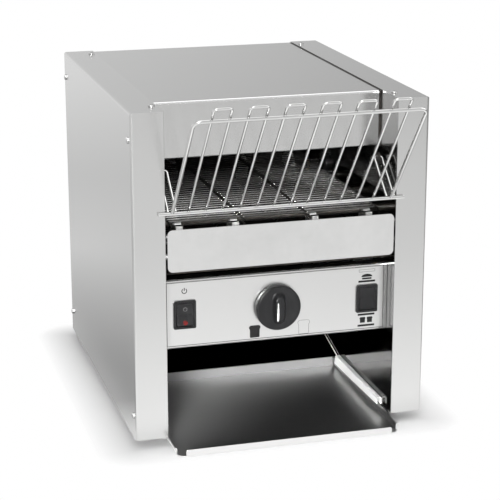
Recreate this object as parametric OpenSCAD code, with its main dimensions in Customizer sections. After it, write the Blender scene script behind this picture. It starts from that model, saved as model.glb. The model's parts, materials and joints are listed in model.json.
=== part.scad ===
// Two-slice conveyor toaster.
// Bread slides down the wire rack into the mouth, rides back on the wire belt between two rows of
// heaters, drops behind the belt and slides forward down a chute into the tray under the controls.
// Heights are measured from the counter and depths from the front face of the columns.

/* [Body] */
// Width across the two side covers
body_w = 330; // [322:2:360]
// Depth from the column fronts to the back edge of the side covers
body_d = 390; // [384:2:430]
// Height of the covers above the feet
shell_h = 362; // [358:2:400]
// Thickness of the sheet steel
sheet_t = 1; // [0.8:0.1:1.2]
// Width of each front column
column_w = 36; // [34:1:40]
// Radius of the folds of the covers
fold_r = 2.2; // [1.6:0.2:4]
// Height of the rubber feet
foot_h = 10; // [8:1:16]
// Diameter of the rubber feet
foot_d = 24; // [18:1:28]

/* [Feed mouth] */
// Distance from the column fronts back to the apron
apron_set_back = 55; // [48:1:62]
// Height of the apron, from its lower edge to the top of the covers
apron_h = 64; // [56:1:68]
// Height of the mouth, from the belt's upper surface to the apron's lower edge
mouth_h = 60; // [56:1:64]
// Height of the front guard plate
guard_h = 46.5; // [42:0.5:52]
// Drop from the belt's upper surface to the guard plate's top edge
guard_drop = 3.5; // [2:0.5:6]
// Side gap between the guard plate and the columns
guard_gap = 2; // [1.5:0.5:4]
// Corner radius of the guard plate
guard_r = 5.5; // [3:0.5:8]

/* [Wire belt] */
// Pitch from one belt wire to the next
belt_pitch = 9.2; // [9:0.05:9.4]
// Number of wires round the whole belt
belt_links = 76; // [70:1:77]
// Thickness of a belt wire
belt_wire = 1.8; // [1.4:0.1:2.2]
// Gap from the belt's edges to the columns, as the mean of both sides
belt_side = 10.5; // [9:0.5:14]
// Shift of the belt to the left, away from the drive
belt_shift = 3; // [0:0.5:4]
// Distance from the belt's middle to a row of Z joints
joint_row = 36; // [28:1:37]
// Half the length of a Z joint
joint_reach = 2.6; // [2.2:0.1:3.2]
// Distance from the belt's middle to an inner sprocket
inner_sprocket = 45; // [45:0.5:60]
// Distance from the belt's edge to an outer sprocket
sprocket_inset = 11.5; // [9:0.5:20]
// Width of a belt sprocket
sprocket_w = 7.5; // [5:0.5:8]
// Diameter of the two belt shafts
shaft_d = 10; // [8:0.5:12]

/* [Feed rack] */
// Diameter of the rack's frame wire and lower bar
frame_wire = 4; // [3:0.5:5]
// Diameter of the rack's slide wires and hangers
slide_wire = 3; // [2.5:0.1:3.5]
// Gap from a column's inner edge to the middle of the rack's end wire
rack_side = 7; // [6.4:0.2:10]
// Length of the slope from the lower bar to the top bar
rack_slope = 153; // [120:1:180]
// Lean of the slope from upright, in degrees
rack_lean = 39.7; // [30:0.1:50]
// Rise of the hairpin loops above the top bar, along the slope
loop_rise = 14; // [10:1:20]
// Number of hairpins
hairpins = 6; // [5:1:7]
// Distance that the lower bar reaches past each column's inner edge
bar_lap = 8; // [5:0.5:14]
// Height of the lower bar's centre above the belt
lower_bar_rise = 15; // [12:0.5:18]
// Length of a hanger from the lower bar to its crown
hanger_l = 56; // [50:1:60]
// Distance between the two legs of a hanger
hanger_w = 8.5; // [7.8:0.1:9.2]
// Slope of the hangers from level, in degrees
hanger_slope = 40.5; // [37:0.5:42]

/* [Control panel] */
// Gap between the guard plate's lower edge and the control panel
panel_gap = 15; // [11:1:19]
// Height of the control panel
panel_h = 79; // [76:1:82]
// Distance from the column fronts back to the panel's face
panel_set_back = 21; // [18:1:24]
// Margin from the panel's edges to the fascia
fascia_margin = 4; // [2:0.5:6]
// Thickness of the fascia
fascia_t = 0.6; // [0.4:0.1:1]
// Distance from the fascia's end to the middle of each rocker switch
switch_inset = 20.2; // [16:0.1:30]
// Width of a switch bezel
bezel_w = 25; // [24:0.5:27]
// Height of a switch bezel
bezel_h = 32; // [31:0.5:34]
// Diameter of the speed knob
knob_d = 51; // [44:1:56]
// Height of the knob's grip above its skirt
knob_grip = 6; // [4:0.5:8]

/* [Exit tray] */
// Gap from a column's inner edge to the tray's side flange
tray_side = 2.5; // [2.4:0.1:3]
// Radius of the corners of the tray's floor
tray_corner = 9; // [6:1:12]
// Height of the tray's front lip and side flanges above its underside
rim_h = 7.6; // [7:0.1:9]
// Distance that the tray stands out in front of the columns
tray_reach = 35; // [25:1:45]
// Distance from the column fronts back to the tray's back lip
tray_back = 187; // [180:1:192]
// Height of the tray's underside above the counter
tray_lift = 0.8; // [0.6:0.1:1]
// Height of the tray's back lip above its underside
back_lip_h = 12.5; // [11:0.5:13]

/* [Heaters and drive] */
// Number of heaters above the belt
upper_heaters = 4; // [3:1:4]
// Number of heaters inside the belt
lower_heaters = 3; // [2:1:3]
// Diameter of a heater tube
heater_d = 8; // [6:0.5:10]
// Teeth of the belt sprockets
belt_teeth = 13; // [13:1:13]
// Teeth of the sprocket on the front shaft
driven_teeth = 15; // [14:1:16]
// Teeth of the sprocket on the motor
motor_teeth = 10; // [9:1:11]
// Pitch of the drive chain
chain_pitch = 6.35; // [6:0.05:6.5]
// Diameter of the motor
motor_d = 46; // [40:1:48]

/* [Hidden] */
$fn = 48;

// colours
steel = [0.78, 0.78, 0.77];
bright_steel = [0.88, 0.88, 0.88];
dark_steel = [0.13, 0.13, 0.13];
black_plastic = [0.09, 0.09, 0.09];
ceramic = [0.86, 0.84, 0.78];

// clearances
seat = 0.1;         // between sheets that lie on each other
side_gap = 0.3;     // between an edge and the sheet beside it
weld_gap = 0.05;    // between wires that are welded together
run_fit = 0.05;     // radial clearance of a shaft in its hole
move_gap = 0.3;     // between bodies that pass each other

// the main planes
side_x = body_w / 2;
opening_x = side_x - column_w;
body_top = foot_h + shell_h;
mouth_top = body_top - apron_h;
belt_top = mouth_top - mouth_h;
guard_top = belt_top - guard_drop;
panel_top = guard_top - guard_h - panel_gap;
panel_bottom = panel_top - panel_h;
wall_x = opening_x + sheet_t / 2;
wall_outside = opening_x + sheet_t;
inside_w = 2 * (opening_x - side_gap);
inner_r = fold_r - sheet_t / 2;
plate_x = side_x - sheet_t - inner_r;
edge_y = sheet_t + inner_r;
liner_x = side_x - sheet_t - side_gap - sheet_t / 2;
plate_z = body_top - 1.5 * sheet_t - seat;
flange_z = plate_z - sheet_t - seat;
floor_z = foot_h + side_gap + sheet_t / 2;
back_recess = 1.5;
shield_gap = 5;
back_y = body_d - back_recess;
shield_y = back_y - shield_gap;

// the feed rack: bar_at is the lower bar, rack_up runs up the slope, rack_out is the bread's side
rack_w = 2 * (opening_x - rack_side);
lower_bar_l = 2 * (opening_x + bar_lap);
bar_at = [-frame_wire / 2 - move_gap, belt_top + lower_bar_rise];
rack_up = [-sin(rack_lean), cos(rack_lean)];
rack_out = [cos(rack_lean), sin(rack_lean)];
slide_offset = (frame_wire + slide_wire) / 2 + weld_gap;
slide_count = 2 * hairpins + 2;
slide_step = round(50 * rack_w / (slide_count - 1)) / 50;
hanger_x = rack_w / 2;
crown_at = bar_at + hanger_l * [cos(hanger_slope), sin(hanger_slope)];
hook_drop = 7.5;
hook_pin_at = crown_at + hook_drop * [sin(hanger_slope), -cos(hanger_slope)];
hook_pin_d = 5;

// the belt runs round two sprockets whose pitch circle holds whole pitches
belt_w = 2 * (opening_x - belt_side);
outer_sprocket = belt_w / 2 - sprocket_inset;
roll_r = belt_pitch / (2 * sin(180 / belt_teeth));
belt_span = (belt_links - belt_teeth) * belt_pitch / 2;
shaft_z = belt_top - belt_wire / 2 - roll_r;
belt_front = 4;
front_shaft_y = belt_front + roll_r + belt_wire / 2;
rear_shaft_y = front_shaft_y + belt_span;
tooth_r = roll_r * cos(180 / belt_teeth) - belt_wire / 2 - move_gap;

// the drive in the right side cavity
motor_y = 92;
motor_rise = 46;
motor_z = panel_bottom + motor_rise;
chain_inset = 14;
chain_x = opening_x + chain_inset;
chain_w = 5;
chain_roller = 5;
motor_pitch_r = chain_pitch / (2 * sin(180 / motor_teeth));
driven_pitch_r = chain_pitch / (2 * sin(180 / driven_teeth));
chain_space = chain_roller / 2 + move_gap;

// the controls
panel_y = panel_set_back + sheet_t / 2;
fascia_y = panel_set_back - seat - fascia_t;
switch_x = inside_w / 2 - fascia_margin - switch_inset;
dial_z = panel_bottom + panel_h / 2 - 0.5;
spindle_d = 6;
bezel_edge = 3.2;
bezel_end = 3;
rocker_w = bezel_w - 2 * bezel_edge;
rocker_h = bezel_h - 2 * bezel_end;
rocker_throw = 7.5;
rocker_sink = 3;
rocker_pivot_y = fascia_y + rocker_sink;
rocker_pin_d = 3;
rocker_tip = 6.6;
rocker_valley = 4.6;
rocker_edge = 0.7;
cutout_w = bezel_w - 3;
cutout_h = bezel_h - 2.4;
box_floor_z = panel_bottom + 1.5 * sheet_t + seat;
box_headroom = 6;
box_roof_z = panel_top + box_headroom;
box_back_y = 130;

// the back of the machine and the chute
gland_bore = 10;
gland_d = 20;
gland_nut_d = 27;
gland_inside = 11;
gland_reach = 13;
gland_rise = 35;
gland_z = foot_h + gland_rise;
gland_x = -side_x + column_w / 2;
chute_rise = 13.5;
chute_bend = 68;
shield_rise = 50;
tray_w = 2 * (opening_x - tray_side);
chute_gap = 3;
chute_front = tray_back - chute_gap;
chute_z = tray_lift + back_lip_h + move_gap + sheet_t / 2;

// the overall box is centred on the origin
loop_at = bar_at + rack_up * (rack_slope + loop_rise) + rack_out * slide_offset;
rack_reach = slide_wire / 2 - loop_at[0];
front_y = (rack_reach - body_d - gland_reach) / 2;

// screws
screw_d = 4;
screw_head_d = 7;
screw_head_h = 2.4;
screw_l = 8;
screw_edge = 8;
top_screw_x = side_x - 29.7;
top_screw_front = 30;
top_screw_back = 25;
screw_rows = [top_screw_front, body_d - top_screw_back];
side_screw_front = 10;
side_screw_back = 8;
side_screw_y = [side_screw_front, body_d - side_screw_back];
side_screw_low = 26;
side_screw_drop = 30;
side_screw_z = [foot_h + side_screw_low, body_top - side_screw_drop];

module in_frame() translate([0, front_y, 0]) children();
module both_sides() for (side = [0, 1]) mirror([side, 0, 0]) children();

// ---- helpers for folded sheet, wires and round parts ----

function unit(v) = v / norm(v);
function side_of(v) = [-v[1], v[0]];
function turned(v, a) = [v[0] * cos(a) - v[1] * sin(a), v[0] * sin(a) + v[1] * cos(a)];
function turn_between(a, b) = atan2(a[0] * b[1] - a[1] * b[0], a * b);

// points and normals along a sheet's middle line, with every corner folded round
function fold_samples(path, r, steps) = concat(
    [[path[0], side_of(unit(path[1] - path[0]))]],
    [for (i = [1 : len(path) - 2])
        let (a = unit(path[i] - path[i - 1]),
             b = unit(path[i + 1] - path[i]),
             turn = turn_between(a, b),
             inward = side_of(a) * sign(turn),
             centre = path[i] - a * r * tan(abs(turn) / 2) + inward * r)
        for (k = [0 : steps])
            let (step = turn * k / steps)
            [centre - turned(inward, step) * r, side_of(turned(a, step))]],
    [let (n = len(path)) [path[n - 1], side_of(unit(path[n - 1] - path[n - 2]))]]);

module fold_outline(path, r = 1.2, t = sheet_t, steps = 4) {
    samples = fold_samples(path, r, steps);
    last = len(samples) - 1;
    polygon(concat([for (s = samples) s[0] + s[1] * t / 2],
                   [for (i = [last : -1 : 0]) samples[i][0] - samples[i][1] * t / 2]));
}

// a profile drawn in depth and height, run across the width from x0 to x1
module across(x0, x1) translate([x0, 0, 0]) rotate([90, 0, 90]) linear_extrude(x1 - x0) children();
// a profile drawn in width and height, run in depth from y0 to y1
module in_depth(y0, y1) translate([0, y1, 0]) rotate([90, 0, 0]) linear_extrude(y1 - y0) children();
// a profile drawn in width and depth, run upward from z0 to z1
module upward(z0, z1) translate([0, 0, z0]) linear_extrude(z1 - z0) children();

module block(low, high) translate(low) cube(high - low);

module rounded_rect(w, h, r) {
    square([w - 2 * r, h], center = true);
    square([w, h - 2 * r], center = true);
    for (x = [-1, 1], y = [-1, 1]) translate([x * (w / 2 - r), y * (h / 2 - r)]) circle(r);
}

module x_rod(x0, x1, y, z, d) translate([x0, y, z]) rotate([0, 90, 0]) cylinder(h = x1 - x0, d = d);
module y_rod(x, y0, y1, z, d) translate([x, y0, z]) rotate([-90, 0, 0]) cylinder(h = y1 - y0, d = d);

// a pan-head screw along +Z with its head above z = 0
module screw() {
    translate([0, 0, -screw_l]) cylinder(h = screw_l + seat, d = screw_d - 0.4);
    translate([0, 0, seat]) rotate_extrude() intersection() {
        translate([0, screw_head_h - screw_head_d]) circle(r = screw_head_d);
        square([screw_head_d / 2, screw_head_h]);
    }
}

module place_top_screws() both_sides() for (y = screw_rows) translate([top_screw_x, y, body_top]) children();
module place_side_screws() both_sides() for (y = side_screw_y, z = side_screw_z)
    translate([side_x, y, z]) rotate([0, 90, 0]) children();
module screw_hole() translate([0, 0, -1.5 * screw_l]) cylinder(h = 3 * screw_l, d = screw_d);

// ---- covers ----

// the outer form of a right-hand cover, inset all round by one sheet for its inside
module cover_form(inset) {
    r = fold_r + sheet_t / 2 - inset;
    reach = inset > 0 ? 5 : 0;
    x0 = opening_x - reach;
    x1 = side_x - inset;
    intersection() {
        upward(foot_h - reach, body_top - inset)
            polygon(concat([[x0, inset]],
                           [for (a = [-90 : 22.5 : 0]) [x1 - r + r * cos(a), inset + r + r * sin(a)]],
                           [[x1, body_d + reach], [x0, body_d + reach]]));
        in_depth(inset, body_d + reach)
            polygon(concat([[x0, foot_h - reach], [x1, foot_h - reach]],
                           [for (a = [0 : 22.5 : 90]) [x1 - r + r * cos(a), body_top - inset - r + r * sin(a)]],
                           [[x0, body_top - inset]]));
    }
}

module side_cover() difference() {
    union() {
        difference() {
            cover_form(0);
            cover_form(sheet_t);
        }
        block([opening_x, 0, mouth_top], [wall_outside, apron_set_back, body_top - sheet_t / 2]);
        block([opening_x, 0, panel_bottom], [wall_outside, panel_set_back - 1, panel_top]);
    }
    place_top_screws() screw_hole();
    place_side_screws() screw_hole();
}

module right_side_cover() color(steel) in_frame() side_cover();
module left_side_cover() color(steel) in_frame() mirror([1, 0, 0]) side_cover();

// the top plate folds down into the apron, whose lower edge is folded back as a hem
apron_hem = 11;
module top_cover() color(steel) in_frame() difference() {
    apron_y = apron_set_back - sheet_t / 2;
    union() {
        across(-opening_x + side_gap, opening_x - side_gap)
            fold_outline([[back_y + sheet_t / 2, plate_z], [apron_y, plate_z],
                          [apron_y, mouth_top + sheet_t / 2], [apron_y + apron_hem, mouth_top + sheet_t / 2]],
                         r = fold_r);
        block([-plate_x, apron_set_back + side_gap + fold_r, plate_z - sheet_t / 2],
              [plate_x, back_y + sheet_t / 2, plate_z + sheet_t / 2]);
    }
    place_top_screws() screw_hole();
}

// rows of round-ended slots, in the given number of columns side by side
slot_l = 46;
slot_w = 4;
slot_gap = 16;
slot_pitch = 9;
slot_rows = 6;
upper_vent_drop = 82;
lower_vent_rise = 50;
module vents(columns, low) in_depth(back_y - 1.5 * sheet_t, back_y + 1.5 * sheet_t)
    for (column = [0 : columns - 1], row = [0 : slot_rows - 1])
        translate([(column - (columns - 1) / 2) * (slot_l + slot_gap), low + row * slot_pitch]) {
            square([slot_l - slot_w, slot_w], center = true);
            for (end = [-1, 1]) translate([end * (slot_l - slot_w) / 2, 0]) circle(d = slot_w);
        }

// vents for the heater space and for the chute, and the hole for the cable gland
back_flange = 12;
module back_panel() color(steel) in_frame() difference() {
    low = floor_z + sheet_t / 2 + side_gap;
    high = plate_z - sheet_t / 2 - side_gap;
    upward(low, high)
        fold_outline([[-liner_x, back_y - back_flange], [-liner_x, back_y],
                      [liner_x, back_y], [liner_x, back_y - back_flange]], r = fold_r);
    vents(4, body_top - upper_vent_drop);
    vents(2, foot_h + lower_vent_rise);
    y_rod(gland_x, back_y - 3 * sheet_t, back_y + 3 * sheet_t, gland_z, gland_d + 4 * seat);
    place_side_screws() screw_hole();
}

// a flat pan open in front for the tray, with upright sides that take the lower cover screws
pan_tail = 20;
module base_pan() color(dark_steel) in_frame() difference() {
    edge_top = side_screw_z[0] + screw_edge;
    union() {
        in_depth(edge_y, back_y - back_flange - sheet_t)
            fold_outline([[-liner_x, edge_top], [-liner_x, floor_z], [liner_x, floor_z], [liner_x, edge_top]],
                         r = fold_r);
        block([-liner_x, back_y - pan_tail, floor_z - sheet_t / 2],
              [liner_x, back_y + sheet_t / 2, floor_z + sheet_t / 2]);
    }
    block([-wall_outside - side_gap, -1, 0], [wall_outside + side_gap, tray_back + 2, edge_top]);
    place_side_screws() screw_hole();
}

foot_inset = 34;
foot_x = side_x - column_w / 2;
foot_y = [foot_inset, body_d - foot_inset];
module foot(x, y) color("black") in_frame() translate([x, y, 0]) rotate_extrude() {
    r = foot_d / 2;
    chamfer = foot_d / 16;
    polygon([[0, 0], [r - chamfer, 0], [r, chamfer], [r - 1, foot_h], [0, foot_h]]);
}
module front_left_foot() foot(-foot_x, foot_y[0]);
module front_right_foot() foot(foot_x, foot_y[0]);
module rear_left_foot() foot(-foot_x, foot_y[1]);
module rear_right_foot() foot(foot_x, foot_y[1]);

// ---- inner chassis ----

function spread(first, last, count, k) = first + (last - first) * (k + 0.5) / count;
heater_front = 70;
heater_back = 10;
heater_rise = 11;
heater_end = 24;
function upper_heater_at(k) = [spread(heater_front, rear_shaft_y + heater_back, upper_heaters, k),
                               mouth_top + heater_rise];
function lower_heater_at(k) = [spread(front_shaft_y + heater_end, rear_shaft_y - heater_end, lower_heaters, k),
                               shaft_z];
cap_wall = 2;
cap_d = heater_d + 2 * cap_wall;
bush_wall = 3;
bush_d = shaft_d + 2 * bush_wall;
motor_boss_d = 11.4;

// the wall's foot is folded inward as the ledge that the tray's rim hangs on
wall_lip = 10;
ledge_front = 8;
ledge_root = 6;
module inner_wall() {
    ledge_z = tray_lift + rim_h - 1.5 * sheet_t - move_gap;
    difference() {
        union() {
            block([opening_x, sheet_t + side_gap, floor_z + sheet_t / 2 + seat],
                  [wall_outside, shield_y + 1.5, flange_z]);
            in_depth(edge_y, back_y - back_flange - 3 * sheet_t)
                fold_outline([[wall_x, flange_z - wall_lip], [wall_x, flange_z],
                              [liner_x, flange_z], [liner_x, side_screw_z[1] - screw_edge]], r = fold_r);
        }
        block([opening_x - 1, -1, mouth_top - side_gap],
              [wall_outside + side_gap, apron_set_back + side_gap, body_top]);
        block([opening_x - 1, -1, panel_bottom - side_gap],
              [wall_outside + side_gap, panel_set_back - 1 + side_gap, panel_top + side_gap]);
        for (y = [front_shaft_y, rear_shaft_y]) x_rod(side_x / 2, side_x, y, shaft_z, bush_d + 2 * run_fit);
        for (k = [0 : upper_heaters - 1])
            x_rod(side_x / 2, side_x, upper_heater_at(k)[0], upper_heater_at(k)[1], cap_d + 2 * run_fit);
        for (k = [0 : lower_heaters - 1])
            x_rod(side_x / 2, side_x, lower_heater_at(k)[0], lower_heater_at(k)[1], cap_d + 2 * run_fit);
        x_rod(side_x / 2, side_x, hook_pin_at[0], hook_pin_at[1], hook_pin_d + 2 * run_fit);
        x_rod(side_x / 2, side_x, guard_pin_at[0], guard_pin_at[1], screw_d);
        x_rod(side_x / 2, side_x, motor_y, motor_z, motor_boss_d + 2 * side_gap);
        place_top_screws() screw_hole();
        place_side_screws() screw_hole();
    }
    in_depth(ledge_front, tray_back + sheet_t)
        fold_outline([[wall_x, floor_z + ledge_root], [wall_x, ledge_z], [(tray_w + sheet_t) / 2, ledge_z]],
                     r = 0.8);
}

module right_inner_wall() color(dark_steel) in_frame() inner_wall();
module left_inner_wall() color(dark_steel) in_frame() mirror([1, 0, 0]) inner_wall();

// one sheet: a sloping floor that curves up into the back shield
module toast_chute() color(dark_steel) in_frame()
    across(-opening_x + side_gap, opening_x - side_gap)
        fold_outline([[chute_front, chute_z],
                      [shield_y, chute_z + (shield_y - chute_front) * tan(chute_rise)],
                      [shield_y, belt_top + shield_rise]], r = chute_bend, steps = 12);

// a shallow tray of sheet whose side edges stand up, or hang down
reflector_edge = 7;
reflector_end = 10;
reflector_rise = 26;
reflector_back = 26;
reflector_drop = 12;
module reflector(y0, y1, z, edge) {
    x = inside_w / 2 - sheet_t / 2;
    in_depth(y0, y1) fold_outline([[-x, z + edge], [-x, z], [x, z], [x, z + edge]]);
}

module upper_reflector() color(bright_steel) in_frame()
    reflector(apron_set_back + apron_hem + 2 * sheet_t, shield_y - reflector_back,
              mouth_top + reflector_rise, -reflector_edge);
module lower_reflector() color(bright_steel) in_frame()
    reflector(front_shaft_y + reflector_end, rear_shaft_y + reflector_end - 2 * sheet_t,
              shaft_z - roll_r - reflector_drop, reflector_edge);

// floor, back and roof of the space behind the control panel
box_floor_front = 6;
box_roof_front = 3;
module control_box() color(dark_steel) in_frame() across(-opening_x + side_gap, opening_x - side_gap)
    fold_outline([[panel_set_back + box_floor_front, box_floor_z], [box_back_y, box_floor_z],
                  [box_back_y, box_roof_z], [panel_set_back + box_roof_front, box_roof_z]]);

// ---- front guard plate ----

guard_x = opening_x - guard_gap;
ear_l = 15;
ear_h = 20;
guard_pin_y = 8;
guard_pin_rise = 15.5;
guard_pin_at = [guard_pin_y, guard_top - guard_h + guard_pin_rise];
collar_d = 7;
collar_w = 2.5;

module front_guard_plate() color(bright_steel) in_frame() difference() {
    union() {
        translate([0, sheet_t / 2, guard_top - guard_h / 2]) rotate([90, 0, 0])
            linear_extrude(sheet_t) rounded_rect(2 * guard_x, guard_h, guard_r);
        both_sides() block([guard_x - sheet_t, 0, guard_top - guard_h + guard_r],
                           [guard_x, ear_l, guard_top - guard_h + guard_r + ear_h]);
    }
    both_sides() x_rod(guard_x - 5, guard_x + 5, guard_pin_at[0], guard_pin_at[1], screw_d);
}

// a pin with a spacing collar holds each ear to the inner wall
module guard_pins() color(bright_steel) in_frame() both_sides() {
    from = guard_x - sheet_t - seat;
    to = wall_outside + seat;
    x_rod(from - 2 * collar_w, to + 2 * collar_w, guard_pin_at[0], guard_pin_at[1], screw_d - 3 * seat);
    x_rod(from - collar_w, from, guard_pin_at[0], guard_pin_at[1], collar_d);
    x_rod(guard_x + seat, opening_x - seat, guard_pin_at[0], guard_pin_at[1], collar_d);
    x_rod(to, to + collar_w, guard_pin_at[0], guard_pin_at[1], collar_d);
}

// ---- control panel ----

panel_roof = 14;
panel_shelf = 40;
control_bush_d = 10;
fascia_hole = 18;

module switch_cutouts() for (x = [-switch_x, switch_x]) translate([x, dial_z])
    square([cutout_w, cutout_h], center = true);

module control_panel() color(steel) in_frame() difference() {
    across(-opening_x + side_gap, opening_x - side_gap)
        fold_outline([[panel_y + panel_roof, panel_top - sheet_t / 2],
                      [panel_y, panel_top - sheet_t / 2],
                      [panel_y, panel_bottom + sheet_t / 2],
                      [panel_y + panel_shelf, panel_bottom + sheet_t / 2]], r = fold_r);
    in_depth(panel_y - 2 * sheet_t, panel_y + 2 * sheet_t) switch_cutouts();
    y_rod(0, panel_y - 2 * sheet_t, panel_y + 2 * sheet_t, dial_z, control_bush_d + 4 * seat);
}

module fascia() color(bright_steel) in_frame() in_depth(fascia_y, fascia_y + fascia_t) difference() {
    translate([0, (panel_top + panel_bottom) / 2])
        rounded_rect(inside_w - 2 * fascia_margin, panel_h - 2 * fascia_margin + 2, 2);
    switch_cutouts();
    translate([0, dial_z]) circle(d = fascia_hole);
}

// bezel and housing, hollow where the rocker swings, with three tags at the back
bezel_t = 2;
bezel_r = 1.6;
switch_l = 26;
tag = [6.4, 9, 0.8];
tag_step = 9;
rocker_room = 12;
module switch_body(x) color(black_plastic) in_frame() translate([x, 0, dial_z]) difference() {
    cut = [cutout_w - 2 * seat, cutout_h - 2 * seat];
    room = [rocker_w + 2 * side_gap, rocker_h + sheet_t];
    union() {
        in_depth(fascia_y - bezel_t, fascia_y - seat) rounded_rect(bezel_w, bezel_h, bezel_r);
        in_depth(fascia_y - bezel_t / 2, fascia_y + switch_l) square(cut, center = true);
        for (k = [-1 : 1]) translate([0, fascia_y + switch_l + tag[1] / 2 - 1, k * tag_step])
            cube(tag, center = true);
    }
    in_depth(fascia_y - 2 * bezel_t, fascia_y + rocker_room) square(room, center = true);
    x_rod(-rocker_w / 2 - 1.4, rocker_w / 2 + 1.4, rocker_pivot_y, 0, rocker_pin_d + 2 * run_fit);
}

// a hollow-faced key on a pin: its upper half is pressed in at rest
module rocker(x) translate([x, rocker_pivot_y, dial_z]) rotate([-rocker_throw, 0, 0]) {
    half = rocker_h / 2;
    across(-rocker_w / 2, rocker_w / 2)
        polygon(concat([[-rocker_tip, half - rocker_edge],
                        [-rocker_valley, 0],
                        [-rocker_tip, rocker_edge - half]],
                       [for (a = [-65 : 13 : 65]) [half * 0.8 * cos(a) - 2, half * sin(a) * 0.98]]));
    x_rod(-rocker_w / 2 - 1.2, rocker_w / 2 + 1.2, 0, 0, rocker_pin_d);
}

// the lens lies flush in the sloping face of the rocker's lower half
lens_d = 5.2;
lens_t = 1;
lens_drop = 9.2;
lens_tilt = atan((rocker_tip - rocker_valley) / (rocker_h / 2 - rocker_edge));
module lens_place() translate([-switch_x, rocker_pivot_y, dial_z]) rotate([-rocker_throw, 0, 0])
    translate([0, -rocker_valley - lens_drop * tan(lens_tilt), -lens_drop])
    rotate([90 - lens_tilt, 0, 0]) children();

module power_switch_body() switch_body(-switch_x);
module power_rocker() color(black_plastic) in_frame() difference() {
    rocker(-switch_x);
    lens_place() translate([0, 0, -lens_t]) cylinder(h = 3 * lens_t, d = lens_d + 2 * run_fit);
}
module power_lamp_lens() color("red") in_frame() lens_place()
    translate([0, 0, weld_gap - lens_t]) cylinder(h = lens_t, d = lens_d);
module selector_switch_body() switch_body(switch_x);
module selector_rocker() color(black_plastic) in_frame() rocker(switch_x);

// ---- speed knob and its control ----

knob_base_y = fascia_y - 1;
knob_skirt = 7.5;
knob_rim = 2.5;
grip_w = 15;
grip_l = 35;
grip_sink = 1.5;
spindle_seat = 8.5;
pointer_x = -2.6;
pointer_w = 2.4;
pointer_tip_w = 1.2;
pointer_t = 0.6;

module knob_place() translate([0, knob_base_y, dial_z]) rotate([90, 0, 0]) children();

// radius of the arc that spans a chord and rises by the given height over it
function arc_r(chord, rise) = (chord * chord / 4 + rise * rise) / (2 * rise);

// a bar crowned along and across, set on the skirt and moved down by the given depth
module grip_form(down) {
    rise = knob_grip + grip_sink;
    top = knob_skirt + knob_grip - down;
    intersection() {
        linear_extrude(top) rounded_rect(grip_w, grip_l, grip_w / 2 - 0.5);
        translate([0, grip_l / 2, top - arc_r(grip_w, rise)]) rotate([90, 0, 0])
            cylinder(h = grip_l, r = arc_r(grip_w, rise));
        translate([-grip_w / 2, 0, top - arc_r(grip_l, rise)]) rotate([0, 90, 0])
            cylinder(h = grip_w, r = arc_r(grip_l, rise), $fn = 96);
    }
}

// the pointer line runs from above the middle down the grip and widens on its way
module pointer_outline(inset) linear_extrude(2 * knob_skirt + knob_grip)
    polygon([for (end = [[-13.5, pointer_w], [8, pointer_tip_w]], side = [-1, 1])
        let (s = end[0] < 0 ? side : -side)
        [pointer_x + s * (end[1] / 2 - inset), end[0] - sign(end[0]) * inset]]);

// a round skirt with a rounded rim and a crowned grip across it
module speed_knob() color(black_plastic) in_frame() knob_place() difference() {
    r = knob_d / 2;
    union() {
        rotate_extrude() union() {
            square([r - knob_rim, knob_skirt]);
            square([r, knob_skirt - knob_rim]);
            translate([r - knob_rim, knob_skirt - knob_rim]) circle(knob_rim);
        }
        grip_form(0);
    }
    translate([0, 0, -1]) cylinder(h = spindle_seat + 2, d = spindle_d + 2 * run_fit);
    translate([0, 0, -1]) cylinder(h = knob_skirt - 2, d = control_bush_d + 6);
    difference() {
        pointer_outline(0);
        grip_form(pointer_t);
        cylinder(h = knob_skirt, r = r);
    }
}

module knob_pointer() color("white") in_frame() knob_place() difference() {
    intersection() {
        grip_form(0);
        pointer_outline(run_fit);
    }
    grip_form(pointer_t - run_fit);
    cylinder(h = knob_skirt + run_fit, r = knob_d);
}

control_case_l = 16;
control_case_d = 24;
control_tag = [2.4, 0.6, 8];
control_tag_step = 6;
nut_t = 1.8;
module speed_spindle() color(bright_steel) in_frame()
    y_rod(0, knob_base_y - spindle_seat, panel_y + control_case_l, dial_z, spindle_d);

// threaded bush, nut, round case and three tags
module speed_control() color([0.35, 0.35, 0.37]) in_frame() difference() {
    case_y = panel_set_back + 2 * sheet_t;
    nut_y = panel_set_back - side_gap;
    union() {
        y_rod(0, nut_y - 1.5 * nut_t, case_y + 1, dial_z, control_bush_d);
        translate([0, nut_y, dial_z]) rotate([90, 0, 0]) cylinder(h = nut_t, d = 1.5 * control_bush_d, $fn = 6);
        y_rod(0, case_y, case_y + control_case_l, dial_z, control_case_d);
        for (k = [-1 : 1]) translate([k * control_tag_step, case_y + control_case_l / 2,
                                      dial_z - control_case_d / 2 - control_tag[2] / 2 + 2])
            cube(control_tag, center = true);
    }
    y_rod(0, nut_y - 3 * nut_t, case_y + control_case_l - 1, dial_z, spindle_d + 2 * run_fit);
}

// ---- electrical parts ----

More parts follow.
